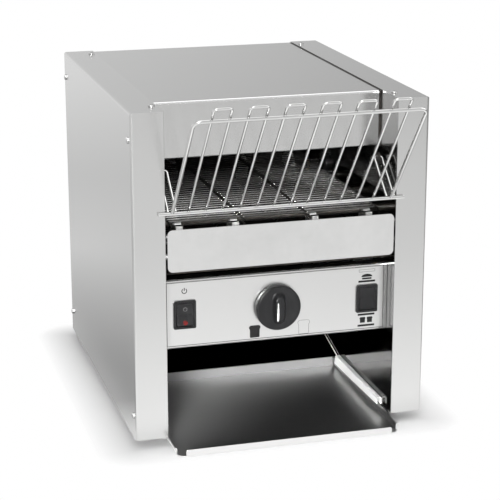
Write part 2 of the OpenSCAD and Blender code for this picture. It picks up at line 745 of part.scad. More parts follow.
// circuit board on four pillars with its tall parts
board = [84, 48, 1.6];
board_at = [-62, 84];
board_edge = 5;
pillar_h = 6;
pillar_d = 5;
relay = [18, 28, 15];
connector = [12, 34, 11];
capacitor_d = 11;
capacitor_h = 18;
capacitor_step = 14;
cooling_fin = [1.6, 12, 22];
fin_step = 5;
module control_board() color([0.10, 0.32, 0.16]) in_frame()
    translate([board_at[0], board_at[1], box_floor_z + sheet_t / 2 + seat]) {
        hole_x = board[0] / 2 - board_edge;
        hole_y = board[1] / 2 - board_edge;
        for (x = [-hole_x, hole_x], y = [-hole_y, hole_y])
            translate([x, y, 0]) cylinder(h = pillar_h, d = pillar_d);
        translate([0, 0, pillar_h + board[2] / 2]) cube(board, center = true);
        translate([0, 0, pillar_h + board[2] - 2 * seat]) {
            translate([board_edge / 2 - hole_x + board_edge, -relay[1] / 2, 0]) cube(relay);
            for (k = [0, 1]) translate([k * capacitor_step - 2, board_edge, 0])
                cylinder(h = capacitor_h, d = capacitor_d);
            translate([hole_x - connector[0] - 1, -connector[1] / 2, 0]) cube(connector);
            for (k = [0 : 4]) translate([k * fin_step - 6, board_edge / 2 - board[1] / 2, 0]) cube(cooling_fin);
        }
    }

// gearbox against the right wall with the motor behind it
gearbox_w = 52;
gearbox_l = 24;
gearbox_r = 6;
gearbox_wall = 4;
motor_l = 44;
motor_end_d = 16;
motor_end_l = 4;
motor_shaft_d = 8;
module gear_motor() color([0.45, 0.45, 0.47]) in_frame() difference() {
    face_x = opening_x - seat;
    can_x = face_x - gearbox_l - motor_l;
    union() {
        translate([face_x, motor_y, motor_z]) rotate([0, -90, 0]) linear_extrude(gearbox_l)
            rounded_rect(gearbox_w, gearbox_w, gearbox_r);
        x_rod(can_x, face_x - gearbox_l + 1, motor_y, motor_z, motor_d);
        x_rod(can_x - motor_end_l, can_x + 1, motor_y, motor_z, motor_end_d);
        x_rod(face_x - 1, wall_outside + 1.5 * sheet_t, motor_y, motor_z, motor_boss_d);
    }
    x_rod(face_x - gearbox_l + gearbox_wall, side_x, motor_y, motor_z, motor_shaft_d + 2 * run_fit);
}

// the teeth of a chain sprocket, which reach up between the chain's rollers
chain_tooth = 1.8;
hub_wall = 2.5;
hub_l = 6.5;
module toothed_wheel(teeth, pitch_r, width, bore) difference() {
    linear_extrude(width, center = true) polygon([for (k = [0 : 4 * teeth - 1])
        let (a = k * 90 / teeth, r = pitch_r - chain_space + (k % 4 < 2 ? 0 : -chain_tooth))
        [r * cos(a), r * sin(a)]]);
    cylinder(h = 3 * width, d = bore, center = true);
}

module motor_sprocket() color(bright_steel) in_frame() translate([0, motor_y, motor_z]) {
    x_rod(opening_x - gearbox_l + 2 * gearbox_wall + 1, chain_x + chain_w, 0, 0, motor_shaft_d);
    translate([chain_x, 0, 0]) rotate([0, 90, 0])
        toothed_wheel(motor_teeth, motor_pitch_r, chain_w, motor_shaft_d - 0.5);
    x_rod(chain_x - hub_l, chain_x - chain_w / 2 + 0.5, 0, 0, motor_shaft_d + 2 * hub_wall);
}

module drive_sprocket() color(bright_steel) in_frame() translate([chain_x, front_shaft_y, shaft_z])
    rotate([0, 90, 0]) {
        toothed_wheel(driven_teeth, driven_pitch_r, chain_w, shaft_d + 2 * run_fit);
        difference() {
            translate([0, 0, -hub_l]) cylinder(h = hub_l - chain_w / 2 + 0.5, d = shaft_d + 3 * hub_wall);
            cylinder(h = 4 * hub_l, d = shaft_d + 2 * run_fit, center = true);
        }
    }

// the chain's path: two arcs joined by the outer tangents of the sprockets
chain_from = [motor_y, motor_z];
chain_to = [front_shaft_y, shaft_z];
chain_gap = norm(chain_to - chain_from);
chain_dir = atan2(chain_to[1] - chain_from[1], chain_to[0] - chain_from[0]);
chain_tilt = asin((driven_pitch_r - motor_pitch_r) / chain_gap);
chain_straight = chain_gap * cos(chain_tilt);
arc_big = driven_pitch_r * (180 + 2 * chain_tilt) * PI / 180;
arc_small = motor_pitch_r * (180 - 2 * chain_tilt) * PI / 180;
chain_l = 2 * chain_straight + arc_big + arc_small;
function on_circle(c, r, a) = c + r * [cos(a), sin(a)];
function chain_at(s) =
    let (up = chain_dir + 90 + chain_tilt, low = chain_dir - 90 - chain_tilt)
    s < chain_straight ?
        on_circle(chain_from, motor_pitch_r, up) + (s / chain_straight)
        * (on_circle(chain_to, driven_pitch_r, up) - on_circle(chain_from, motor_pitch_r, up)) :
    s < chain_straight + arc_big ?
        on_circle(chain_to, driven_pitch_r, up - (s - chain_straight) / driven_pitch_r * 180 / PI) :
    s < 2 * chain_straight + arc_big ?
        on_circle(chain_to, driven_pitch_r, low) + ((s - chain_straight - arc_big) / chain_straight)
        * (on_circle(chain_from, motor_pitch_r, low) - on_circle(chain_to, driven_pitch_r, low)) :
        on_circle(chain_from, motor_pitch_r,
                  low - (s - 2 * chain_straight - arc_big) / motor_pitch_r * 180 / PI);

chain_points = 2 * round(chain_l / chain_pitch);
function chain_edge(k, side) =
    let (here = chain_at(chain_l * k / chain_points),
         ahead = chain_at(chain_l * (k + 0.2) / chain_points),
         half = (k % 2 == 0 ? chain_roller : 0.6 * chain_roller) / 2)
    here + side * half * side_of(unit(ahead - here));

// a band of side plates whose edges swell at every roller
module drive_chain() color([0.4, 0.4, 0.4]) in_frame()
    across(chain_x - chain_w / 2, chain_x + chain_w / 2) difference() {
        polygon([for (k = [0 : chain_points - 1]) chain_edge(k, 1)]);
        polygon([for (k = [0 : chain_points - 1]) chain_edge(k, -1)]);
    }

ways = 3;
way_l = 13;
way_gap = 4;
way_h = 10;
terminal_w = 22;
terminal_edge = 3;
terminal_base = 8;
terminal_back = 72;
terminal_rise = 30;
module terminal_block() color(ceramic) in_frame()
    translate([-wall_outside - seat - terminal_w, body_d - terminal_back, gland_z + terminal_rise]) {
        cube([terminal_w, ways * way_l, terminal_base]);
        for (k = [0 : ways - 1]) translate([terminal_edge, k * way_l + way_gap / 2, terminal_base - 2 * seat])
            cube([terminal_w - 2 * terminal_edge, way_l - way_gap, way_h]);
    }

thermostat_y = 215;
thermostat_rise = 24;
thermostat_d = 16;
thermostat_h = 9;
thermostat_flange = 24;
thermostat_tag = [0.8, 6, 9];
module limit_thermostat() color(ceramic) in_frame()
    translate([-wall_outside - seat, thermostat_y, mouth_top + thermostat_rise]) rotate([0, -90, 0]) {
        cylinder(h = thermostat_h, d = thermostat_d);
        cylinder(h = 1.2 * sheet_t, d = thermostat_flange);
        for (side = [-1, 1])
            translate([side * thermostat_d / 4, 0, thermostat_h + thermostat_tag[2] / 2 - 2 * seat])
                cube(thermostat_tag, center = true);
    }

// flanged body through the back panel, locknut inside and dome nut outside
module cable_gland() color(black_plastic) in_frame() translate([gland_x, back_y + sheet_t / 2 + seat, gland_z])
    rotate([-90, 0, 0]) difference() {
        rim = back_y + sheet_t / 2 + seat;
        reach = body_d + gland_reach - rim;
        cap_r = gland_d / 2 + 1;
        union() {
            translate([0, 0, -gland_inside]) cylinder(h = gland_inside + 1, d = gland_d);
            translate([0, 0, -gland_inside + 3]) cylinder(h = 5, d = gland_nut_d, $fn = 6);
            cylinder(h = 4, d = gland_nut_d, $fn = 6);
            rotate_extrude()
                polygon([[0, 3], [cap_r, 3], [cap_r, reach - 3], [cap_r - 2.5, reach], [0, reach]]);
        }
        translate([0, 0, -gland_inside - 1]) cylinder(h = gland_inside + reach + 2, d = gland_bore);
    }

// ---- heaters ----

// glass tube with ceramic end caps in the walls and a terminal pin at each end
cap_reach = 5;
heater_pin_d = 3;
heater_pin_l = 6;
module heater(at) color([0.75, 0.45, 0.3]) in_frame() {
    cap_x = wall_outside + cap_reach;
    x_rod(1 - cap_x, cap_x - 1, at[0], at[1], heater_d);
    both_sides() {
        x_rod(opening_x - cap_reach, cap_x, at[0], at[1], cap_d);
        x_rod(cap_x - 1, cap_x + heater_pin_l, at[0], at[1], heater_pin_d);
    }
}
module upper_heater(k) if (k < upper_heaters) heater(upper_heater_at(k));
module lower_heater(k) if (k < lower_heaters) heater(lower_heater_at(k));

// ---- belt, shafts and bushes ----

// depth, height and slope of the belt's middle line at row number t, counted from the front turn
run_rows = (belt_links - belt_teeth) / 2;
turn_rows = belt_teeth / 2;
row_angle = 360 / belt_teeth;
function belt_at(t) =
    t < run_rows ? [t * belt_pitch, roll_r, 0] :
    t < run_rows + turn_rows ?
        let (a = (t - run_rows) * row_angle) [belt_span + roll_r * sin(a), roll_r * cos(a), -a] :
    t < 2 * run_rows + turn_rows ? [belt_span - (t - run_rows - turn_rows) * belt_pitch, -roll_r, 180] :
        let (a = 180 + (t - 2 * run_rows - turn_rows) * row_angle) [roll_r * sin(a), roll_r * cos(a), -a];

// what ties two neighbouring rows together: a Z joint on each side and the links at both edges
module belt_ties(step) {
    tie = belt_wire - 0.2;
    edge = (belt_w - belt_wire) / 2;
    for (x = [-edge, edge]) translate([x - tie / 2, 0]) square([tie, step]);
    for (x = [-joint_row, joint_row])
        polygon([[x + joint_reach - tie / 2, 0], [x + joint_reach + tie / 2, 0],
                 [x - joint_reach + tie / 2, step], [x - joint_reach - tie / 2, step]]);
}

// rows and ties of a flat run
module belt_run(first, rows) translate([0, belt_at(first)[0], belt_at(first)[1]])
    rotate([belt_at(first)[2], 0, 0]) linear_extrude(belt_wire, center = true)
        for (k = [0 : rows - 1]) translate([0, k * belt_pitch]) {
            square([belt_w, belt_wire], center = true);
            if (k < rows - 1) belt_ties(belt_pitch);
        }

// rows and ties on their way round a sprocket
module belt_turn(first, last) {
    for (t = [first : last]) {
        here = belt_at(t);
        next = belt_at((t + 1) % belt_links);
        v = [next[0] - here[0], next[1] - here[1]];
        translate([0, here[0], here[1]]) rotate([atan2(v[1], v[0]), 0, 0])
            linear_extrude(belt_wire - 0.2, center = true) belt_ties(norm(v));
    }
    for (t = [first + 1 : last]) translate([0, belt_at(t)[0], belt_at(t)[1]])
        rotate([belt_at(t)[2], 0, 0]) cube([belt_w, belt_wire, belt_wire], center = true);
}

module conveyor_belt() color([0.62, 0.62, 0.62]) in_frame() translate([-belt_shift, front_shaft_y, shaft_z]) {
    top_rows = ceil(run_rows);
    low_first = ceil(run_rows + turn_rows);
    low_rows = ceil(2 * run_rows + turn_rows) - low_first;
    belt_run(0, top_rows);
    belt_turn(top_rows - 1, low_first - 1);
    belt_run(low_first, low_rows);
    belt_turn(low_first + low_rows - 1, belt_links - 1);
}

shaft_end = 12;
module belt_shaft(y, right_end) color(bright_steel) in_frame()
    x_rod(-wall_outside - shaft_end, right_end, y, shaft_z, shaft_d);
module front_shaft() belt_shaft(front_shaft_y, chain_x + chain_w / 2 + hub_wall);
module rear_shaft() belt_shaft(rear_shaft_y, wall_outside + shaft_end);

// flat-topped teeth that reach up between the belt wires
belt_tooth = 2.4;
belt_hub_wall = 4.5;
module belt_sprockets(y) color(bright_steel) in_frame()
    for (side = [-1, 1], x = [inner_sprocket, outer_sprocket])
    translate([side * x - belt_shift, y, shaft_z]) rotate([0, 90, 0]) difference() {
        union() {
            linear_extrude(sprocket_w, center = true) polygon([for (k = [0 : 4 * belt_teeth - 1])
                let (a = (k + 0.5) * 90 / belt_teeth, r = tooth_r + (k % 4 < 2 ? 0 : -belt_tooth))
                [r * cos(a), r * sin(a)]]);
            cylinder(h = sprocket_w + 4, d = shaft_d + 2 * belt_hub_wall, center = true);
        }
        cylinder(h = 3 * sprocket_w, d = shaft_d + 2 * run_fit, center = true);
    }
module front_belt_sprockets() belt_sprockets(front_shaft_y);
module rear_belt_sprockets() belt_sprockets(rear_shaft_y);

// flanged bushes pressed into the inner walls from outside
bush_l = 7;
bush_flange = 3;
module shaft_bushes() color([0.72, 0.58, 0.34]) in_frame() both_sides() for (y = [front_shaft_y, rear_shaft_y])
    translate([opening_x - sheet_t, y, shaft_z]) rotate([0, 90, 0]) difference() {
        union() {
            cylinder(h = bush_l, d = bush_d);
            translate([0, 0, 2 * sheet_t + seat]) cylinder(h = 2 * sheet_t, d = bush_d + 2 * bush_flange);
        }
        translate([0, 0, -1]) cylinder(h = bush_l + 2, d = shaft_d + 2 * run_fit);
    }

// ---- feed rack ----

// places a wire drawn flat, with x across and y up the slope, on the rack's slope
module on_slope(offset) translate([0, bar_at[0] + rack_out[0] * offset, bar_at[1] + rack_out[1] * offset])
    rotate([90 + rack_lean, 0, 0]) children();

// a wire bent into an upside-down U: two legs and a crown, with round bends
module bent_u(w, foot_at, crown_at, r, d) {
    for (side = [0, 1]) mirror([side, 0, 0]) {
        translate([w / 2, foot_at, 0]) rotate([-90, 0, 0]) cylinder(h = crown_at - r - foot_at, d = d);
        translate([w / 2 - r, crown_at - r, 0]) rotate_extrude(angle = 90) translate([r, 0]) circle(d = d);
    }
    translate([r - w / 2, crown_at, 0]) rotate([0, 90, 0]) cylinder(h = w - 2 * r, d = d);
}

frame_bend = 8;
loop_bend = 4;
hanger_bend = 3;
module rack_frame() color(bright_steel) in_frame() on_slope(0)
    bent_u(rack_w, frame_wire / 2 + weld_gap, rack_slope, frame_bend, frame_wire);

module rack_hairpins() color(bright_steel) in_frame() on_slope(slide_offset)
    for (k = [0 : hairpins - 1]) translate([(2 * k + 1.5) * slide_step - rack_w / 2, 0, 0])
        bent_u(slide_step, -frame_wire / 2, rack_slope + loop_rise, loop_bend, slide_wire);

module rack_lower_bar() color(bright_steel) in_frame()
    x_rod(-lower_bar_l / 2, lower_bar_l / 2, bar_at[0], bar_at[1], frame_wire);

// narrow hairpins that reach back into the mouth; each straddles an end wire of the rack
module rack_hangers() color(bright_steel) in_frame() both_sides()
    translate([hanger_x, bar_at[0], bar_at[1]]) rotate([hanger_slope, 0, 0])
        bent_u(hanger_w, frame_wire / 2 + weld_gap, hanger_l, hanger_bend, slide_wire);

// notched plates on pins in the inner walls: a hanger's crown drops into the notch from above
hook_t = 2;
hook_r = 5.5;
module rack_hooks() color(dark_steel) in_frame() both_sides() {
    notch = slide_wire + 2 * run_fit;
    across(hanger_x - hook_t / 2, hanger_x + hook_t / 2) difference() {
        union() {
            translate(crown_at) circle(hook_r);
            translate(hook_pin_at) circle(hook_r);
            translate(crown_at) rotate(hanger_slope - 90) translate([0, 1 - hook_r])
                square([norm(hook_pin_at - crown_at), 2 * hook_r - 2]);
        }
        translate(crown_at - [notch / 2, notch / 2]) square([notch, 2 * hook_r]);
    }
    x_rod(hanger_x, opening_x - seat, hook_pin_at[0], hook_pin_at[1], hook_pin_d + 1);
    x_rod(opening_x - sheet_t, wall_outside + hook_pin_d / 2, hook_pin_at[0], hook_pin_at[1], hook_pin_d);
}

// ---- exit tray and its guides ----

// the side flanges turn outward at the top and hang on ledges of the walls; the corners are open
guide_inset = 3;
rim_gap = 0.6;
lip_r = 2.4;
module exit_tray() color(bright_steel) in_frame() {
    back_x = (tray_w - sheet_t) / 2 - guide_inset - 2 * move_gap;
    flange_x = tray_w / 2 - sheet_t / 2;
    low = tray_lift + sheet_t / 2;
    top = tray_lift + rim_h - sheet_t / 2;
    rim_x = opening_x - rim_gap;
    lip_x = tray_w / 2 - tray_corner;
    in_depth(tray_corner - tray_reach, tray_back)
        fold_outline([[-rim_x, top], [-flange_x, top], [-flange_x, low],
                      [flange_x, low], [flange_x, top], [rim_x, top]], r = 1, steps = 3);
    upward(tray_lift, tray_lift + sheet_t) intersection() {
        translate([0, tray_back / 2 - tray_reach]) rounded_rect(tray_w, tray_back, tray_corner);
        translate([-side_x, -tray_reach]) square([body_w, tray_corner + 2]);
    }
    in_depth(-tray_reach, sheet_t - tray_reach) translate([0, tray_lift + rim_h / 2])
        rounded_rect(2 * lip_x, rim_h, lip_r);
    in_depth(tray_back - sheet_t, tray_back) translate([0, tray_lift + back_lip_h / 2])
        square([2 * back_x, back_lip_h], center = true);
}

// a stepped strip on the wall that reaches down inside the tray and keeps the toast off its side
guide_front = 30;
guide_end = 7;
guide_rise = 12;
guide_foot = 4.5;
guide_flange = 9;
module tray_guide() in_depth(guide_front, tray_back - guide_end) {
    strip_x = tray_w / 2 - guide_inset;
    plate_x = opening_x - seat - sheet_t / 2;
    shelf_z = tray_lift + rim_h + guide_rise;
    fold_outline([[plate_x, shelf_z + guide_flange], [plate_x, shelf_z],
                  [strip_x, shelf_z], [strip_x, tray_lift + guide_foot]], r = 0.8);
}
module right_tray_guide() color(bright_steel) in_frame() tray_guide();
module left_tray_guide() color(bright_steel) in_frame() mirror([1, 0, 0]) tray_guide();

// ---- screws of the covers ----

module top_screws() color(bright_steel) in_frame() place_top_screws() screw();
module side_screws() color(bright_steel) in_frame() place_side_screws() screw();

left_side_cover();
right_side_cover();
top_cover();
back_panel();
base_pan();
left_inner_wall();
right_inner_wall();
toast_chute();
upper_reflector();
lower_reflector();
control_box();
front_guard_plate();
guard_pins();
control_panel();
fascia();
power_switch_body();
power_rocker();
power_lamp_lens();
selector_switch_body();
selector_rocker();
speed_knob();
knob_pointer();
speed_spindle();
speed_control();
control_board();
gear_motor();
motor_sprocket();
drive_sprocket();
drive_chain();
front_shaft();
front_belt_sprockets();
rear_shaft();
rear_belt_sprockets();
shaft_bushes();
conveyor_belt();
upper_heater(0);  // upper_heater_1
upper_heater(1);  // upper_heater_2
upper_heater(2);  // upper_heater_3
upper_heater(3);  // upper_heater_4
lower_heater(0);  // lower_heater_1
lower_heater(1);  // lower_heater_2
lower_heater(2);  // lower_heater_3
rack_frame();
rack_hairpins();
rack_lower_bar();
rack_hangers();
rack_hooks();
exit_tray();
left_tray_guide();
right_tray_guide();
front_left_foot();
front_right_foot();
rear_left_foot();
rear_right_foot();
terminal_block();
limit_thermostat();
cable_gland();
top_screws();
side_screws();
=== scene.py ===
# %% [markdown]
# # Dressing a conveyor toaster
#
# A conveyor toaster is a stainless box with a wire belt running through it. Bread goes in over a
# sloping wire rack, rides between two rows of heaters and slides out into a tray at the bottom.
# The solids come from a CAD model that is loaded as a fixed frame. This script adds what the
# solids leave out: finishes, round wires, painted shadows in the seams, printing, light and a
# camera.
#
# All lengths are in metres. X runs to the user's right, Y away from the user and Z up.

# %% Load the CAD frame
import json
import math

import bmesh
import bpy
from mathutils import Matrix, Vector
from mathutils.bvhtree import BVHTree


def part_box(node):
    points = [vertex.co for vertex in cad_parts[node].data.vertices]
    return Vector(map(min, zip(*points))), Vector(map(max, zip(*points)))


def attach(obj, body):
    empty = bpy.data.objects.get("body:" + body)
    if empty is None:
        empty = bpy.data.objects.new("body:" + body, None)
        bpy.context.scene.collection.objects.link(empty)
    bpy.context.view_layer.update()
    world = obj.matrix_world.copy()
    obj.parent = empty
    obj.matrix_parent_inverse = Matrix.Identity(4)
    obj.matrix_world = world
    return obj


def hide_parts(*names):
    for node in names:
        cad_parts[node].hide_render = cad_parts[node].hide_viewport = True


mm = 0.001
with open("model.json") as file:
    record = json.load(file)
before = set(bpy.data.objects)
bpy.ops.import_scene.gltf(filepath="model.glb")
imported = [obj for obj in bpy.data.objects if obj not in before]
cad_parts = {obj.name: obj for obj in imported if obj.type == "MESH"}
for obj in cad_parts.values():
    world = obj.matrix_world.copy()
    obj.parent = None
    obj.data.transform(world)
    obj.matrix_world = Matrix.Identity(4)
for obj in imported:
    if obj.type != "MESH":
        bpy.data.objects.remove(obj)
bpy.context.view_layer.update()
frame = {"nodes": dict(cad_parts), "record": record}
NODES = frame["nodes"]
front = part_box("right_side_cover")[0].y

# %% [markdown]
# ## A small language for materials
#
# Blender builds a material from nodes joined by links, which is slow to read as code. `Value`
# wraps one output socket, so that ordinary arithmetic on values creates the maths nodes. The
# reflected forms let a plain number stand on the left, as in `1.0 - mask`.


# %% Wrap sockets so that arithmetic makes nodes
class Value:
    """One output socket of a node tree, with arithmetic."""

    def __init__(self, tree, socket):
        self.tree, self.socket = tree, socket

    def _maths(self, operation, first, second=None, clamp=False):
        node = self.tree.nodes.new("ShaderNodeMath")
        node.operation, node.use_clamp = operation, clamp
        for slot, value in zip(node.inputs, (first, second)):
            if isinstance(value, Value):
                self.tree.links.new(value.socket, slot)
            elif value is not None:
                slot.default_value = value
        return Value(self.tree, node.outputs[0])

    def __add__(self, other):
        return self._maths("ADD", self, other)

    def __radd__(self, other):
        return self._maths("ADD", other, self)

    def __sub__(self, other):
        return self._maths("SUBTRACT", self, other)

    def __rsub__(self, other):
        return self._maths("SUBTRACT", other, self)

    def __mul__(self, other):
        return self._maths("MULTIPLY", self, other)

    def __rmul__(self, other):
        return self._maths("MULTIPLY", other, self)

    def __pow__(self, other):
        return self._maths("POWER", self, other)

    def __gt__(self, other):
        return self._maths("GREATER_THAN", self, other)

    def __abs__(self):
        return self._maths("ABSOLUTE", self)

    def clamped(self):
        """The value held between 0 and 1."""
        return self._maths("ADD", self, 0.0, clamp=True)


# %% [markdown]
# Every other node comes from `Shade.node`. It takes the node's type, its settings and its inputs.
# The settings come first, because they decide which sockets a node has. The other methods are
# short names for the nodes that the finishes use most.


# %% Build a material node by node
class Shade:
    """A material, or the world, under construction."""

    def __init__(self, name, owner=None):
        self.owner = owner or bpy.data.materials.new(name)
        self.owner.use_nodes = True
        self.tree = self.owner.node_tree
        self.tree.nodes.clear()

    def node(self, kind, settings=None, output=0, **inputs):
        node = self.tree.nodes.new("ShaderNode" + kind)
        for name, value in (settings or {}).items():
            setattr(node, name, value)
        for name, value in inputs.items():
            slot = next(s for s in node.inputs if s.enabled
                        and name in (s.name.replace(" ", "_"), s.identifier))
            if isinstance(value, Value):
                self.tree.links.new(value.socket, slot)
            else:
                slot.default_value = value
        return Value(self.tree, node.outputs[output]) if len(node.outputs) else None

    def place(self, stretch=(1, 1, 1)):
        """Object coordinates, stretched."""
        return self.node("Mapping", Vector=self.node("TexCoord", output="Object"), Scale=stretch)

    def split(self, vector):
        """The X, Y and Z parts of a vector."""
        return [self.node("SeparateXYZ", output=k, Vector=vector) for k in range(3)]

    def noise(self, scale, stretch=(1, 1, 1), detail=4.0, roughness=0.55):
        return self.node("TexNoise", Vector=self.place(stretch), Scale=scale, Detail=detail,
                         Roughness=roughness)

    def ramp(self, value, low, high, curve="LINEAR"):
        """0 below low, 1 above high, and in between along a line or a curve."""
        return self.node("MapRange", {"clamp": True, "interpolation_type": curve},
                         Value=value, From_Min=low, From_Max=high)

    def mix(self, share, first, second):
        """The first colour where the share is 0 and the second where it is 1."""
        # A Mix node has one result for each type of value, and the colour is the third.
        return self.node("Mix", {"data_type": "RGBA"}, output=2,
                         Factor_Float=share, A_Color=first, B_Color=second)

    def bump(self, height, strength, distance):
        return self.node("Bump", Height=height, Strength=strength, Distance=distance)

    def up_share(self):
        """How far the surface looks up: 1 for the top of a box, 0 for its sides."""
        return self.split(self.node("NewGeometry", output="Normal"))[2]

    def level(self):
        """1 on level faces and 0 on upright ones."""
        return abs(self.up_share()) > 0.7

    def show(self, shader, output="OutputMaterial"):
        self.node(output, Surface=shader)
        return self.owner

    def finish(self, **inputs):
        return self.show(self.node("BsdfPrincipled", **inputs))


def grey(v):
    return (v, v, v, 1.0)


def toned(colour, factor, lift=0.0):
    """A lighter or darker form of a colour."""
    return tuple(min(1.0, c * factor + lift) for c in colour[:3]) + (1.0,)


# %% [markdown]
# ## Brushed sheet
#
# Sheet steel is brushed along one direction before it is folded. The brushing is a fine ridge
# pattern that is long in one direction and short in the other two, so one noise is stretched
# along Z for the upright faces and another along Y for the level ones. The face's normal picks
# between them. The same streaks drive a little roughness, which is what the eye reads as brushed.
# An image of brushed metal would be quicker, but it would show seams where the faces meet.
#
# The folds get a painted highlight: a near-white colour, with a little less roughness, for the
# light that a round fold catches. The normal finds them, because a round fold looks neither
# quite up nor quite sideways.


# %% Brushed sheet, with a painted highlight on its folds
def brushing(s, level):
    """Fine ridges that run up the upright faces and back along the level ones."""
    upright = s.noise(2600, (1, 1, 0.006), detail=3)
    lying = s.noise(2600, (1, 0.006, 1), detail=3)
    return upright + level * (lying - upright)


def brushed_tone(s, streaks, streak):
    """Small changes of tone, above and below zero: the ridges and some faint clouds."""
    return (streaks - 0.5) * streak + (s.noise(6, detail=3) - 0.5) * 0.04


def brushed_steel(name, colour, rough, streak=0.06, bump=0.10):
    s = Shade(name)
    streaks = brushing(s, s.level())
    tone = brushed_tone(s, streaks, streak)
    up = s.up_share()
    # Painted highlight: round folds get a near-white colour.
    fold_highlight = s.ramp(up, 0.15, 0.4) * (1.0 - s.ramp(up, 0.85, 0.97))
    sheet = s.mix((tone + 0.5).clamped(), toned(colour, 0.80), toned(colour, 1.12))
    return s.finish(
        Base_Color=s.mix(fold_highlight, sheet, grey(0.96)),
        Metallic=1.0,
        Roughness=(tone * 0.8 + rough - fold_highlight * 0.06).clamped(),
        Normal=s.bump(streaks, bump, 0.00002),
    )


# %% [markdown]
# The side covers wrap round into the mouth. Their returns face each other across a narrow, dim
# opening. A painted shade makes them darker than the polished outside, and darkest at their
# foot. The place on the X axis tells a return from the rest of the cover.

# %% The covers, with painted shade on their returns
column_w = 36 * mm
opening_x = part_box("right_side_cover")[1].x - column_w
shade_low, shade_high = 0.27, 0.35


def folded_cover(name, colour, rough):
    s = Shade(name)
    level = s.level()
    streaks = brushing(s, level)
    tone = brushed_tone(s, streaks, 0.06)
    x, _, z = s.split(s.place())
    inner = (1.0 - s.ramp(abs(x), opening_x + 0.2 * mm, opening_x + 0.5 * mm)) * (1.0 - level)
    # Painted shade: the returns are mixed towards near-black, most at their foot.
    return_shade = (1.0 - s.ramp(z, shade_low, shade_high)) * 0.35 + 0.35
    sheet = s.mix((tone + 0.5).clamped(), toned(colour, 0.80), toned(colour, 1.12))
    return s.finish(
        Base_Color=s.mix(inner * return_shade, sheet, grey(0.12)),
        Metallic=1.0,
        Roughness=(tone * 0.8 + rough).clamped(),
        Normal=s.bump(streaks, 0.10, 0.00002),
    )


print("mouth:", round(2 * opening_x * 1000, 1), "mm wide")

# %% [markdown]
# ## Belt wire
#
# New belt wire is bright, and heat turns it nearly black. The wire is painted bright as light on
# the upper run towards the front, and painted dark as shade at the back, on the lower run and
# round the front turn. So the wire mixes two colours by its place on the belt, and a noise makes
# the edge of the bright part uneven.

# %% Belt wire with painted light and painted shade
belt_front, belt_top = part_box("conveyor_belt")[0].y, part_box("conveyor_belt")[1].z
print("belt: front turn at y", round(belt_front, 3), "m, top at z", round(belt_top, 3), "m")


def woven_steel(name, colour, burnt_and_shaded, rough):
    s = Shade(name)
    _, y, z = s.split(s.place())
    # Painted light and shade: bright on the upper run towards the front, dark elsewhere.
    upper_run = s.ramp(z, belt_top - 3.5 * mm, belt_top - 1 * mm)
    lit_front = 1.0 - s.ramp(y, belt_front + 90 * mm, belt_front + 240 * mm)
    past_turn = s.ramp(y, belt_front + 12 * mm, belt_front + 40 * mm)
    cloud = s.ramp(s.noise(22), 0.35, 0.65)
    fine = s.noise(900, detail=2)
    return s.finish(
        Base_Color=s.mix(upper_run * lit_front * past_turn * (cloud * 0.4 + 0.6), burnt_and_shaded, colour),
        Metallic=1.0,
        Roughness=(fine - 0.5) * 0.06 + rough,
        Normal=s.bump(fine, 0.12, 0.00002),
    )


# %% [markdown]
# ## The tray's sheet
#
# The tray is polished, and its back and left are brighter than its front and right. That is
# painted light: a patch of lower metallic and higher roughness at the back and the left catches
# the lamps, and the front and the right stay a dark mirror. Bump alone would need scratches finer
# than a pixel to dull it. Behind its front lip, the tray's upright rims are darker and rougher.

# %% Tray steel with a painted light patch
tray_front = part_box("exit_tray")[0].y
print("tray: front lip at y", round(tray_front, 3), "m")


def tray_steel(name, colour, rough):
    s = Shade(name)
    x, y, _ = s.split(s.place())
    level = s.level()
    # Painted light: the back and the left are made dull and pale, so that they look lit.
    painted_light_patch = s.ramp(y - x * 0.9, tray_front + 30 * mm, tray_front + 380 * mm, "SMOOTHERSTEP") * level
    lip = (1.0 - level) * s.ramp(y, tray_front + 20 * mm, tray_front + 100 * mm)
    fine = s.noise(300, (0.03, 1, 1), detail=2)
    sheet = s.mix((fine - 0.5) * 0.2 + 0.2, colour, grey(0.56))
    return s.finish(
        Base_Color=s.mix(lip, sheet, grey(0.36)),
        Metallic=1.0 - painted_light_patch * 0.65,
        Roughness=painted_light_patch * 0.22 + lip * 0.25 + rough,
        Normal=s.bump(fine, 0.05, 0.00002),
    )


# %% [markdown]
# ## Polished steel, burnt steel and plastic
#
# Polished steel has finger smudges, which are a little rougher. Steel near the heaters has brown
# stains. Moulded plastic has a fine grain from its mould and wears dull and pale in patches.
# Smudges, stains and worn patches are all the same idea: one noise with large clouds, cut to a
# mask by a ramp, drives both the colour and the roughness. A painted mask could place each patch
# by hand, but then every piece would need its own image.


# %% Polished steel
def polished_steel(name, colour, rough, smear=0.08):
    s = Shade(name)
    smudge = s.ramp(s.noise(18, detail=5, roughness=0.7), 0.42, 0.75)
    fine = s.noise(1400, (0.05, 1, 1), detail=2)
    return s.finish(
        Base_Color=s.mix(smudge, colour, toned(colour, 0.93)),
        Metallic=1.0,
        Roughness=smudge * smear + (fine - 0.5) * 0.05 + rough,
        Normal=s.bump(fine, 0.12, 0.00002),
    )


# %% Steel near the heaters
def heat_dark_steel(name, colour, rough):
    s = Shade(name)
    stain = s.ramp(s.noise(14, detail=6, roughness=0.65), 0.35, 0.7)
    grain = s.noise(1200, detail=2)
    red, green, blue = colour[:3]
    return s.finish(
        Base_Color=s.mix(stain, colour, (red * 1.5, green * 1.25, blue, 1)),
        Metallic=0.55,
        Roughness=stain * 0.16 + (grain - 0.5) * 0.1 + rough,
        Normal=s.bump(grain, 0.3, 0.00005),
    )


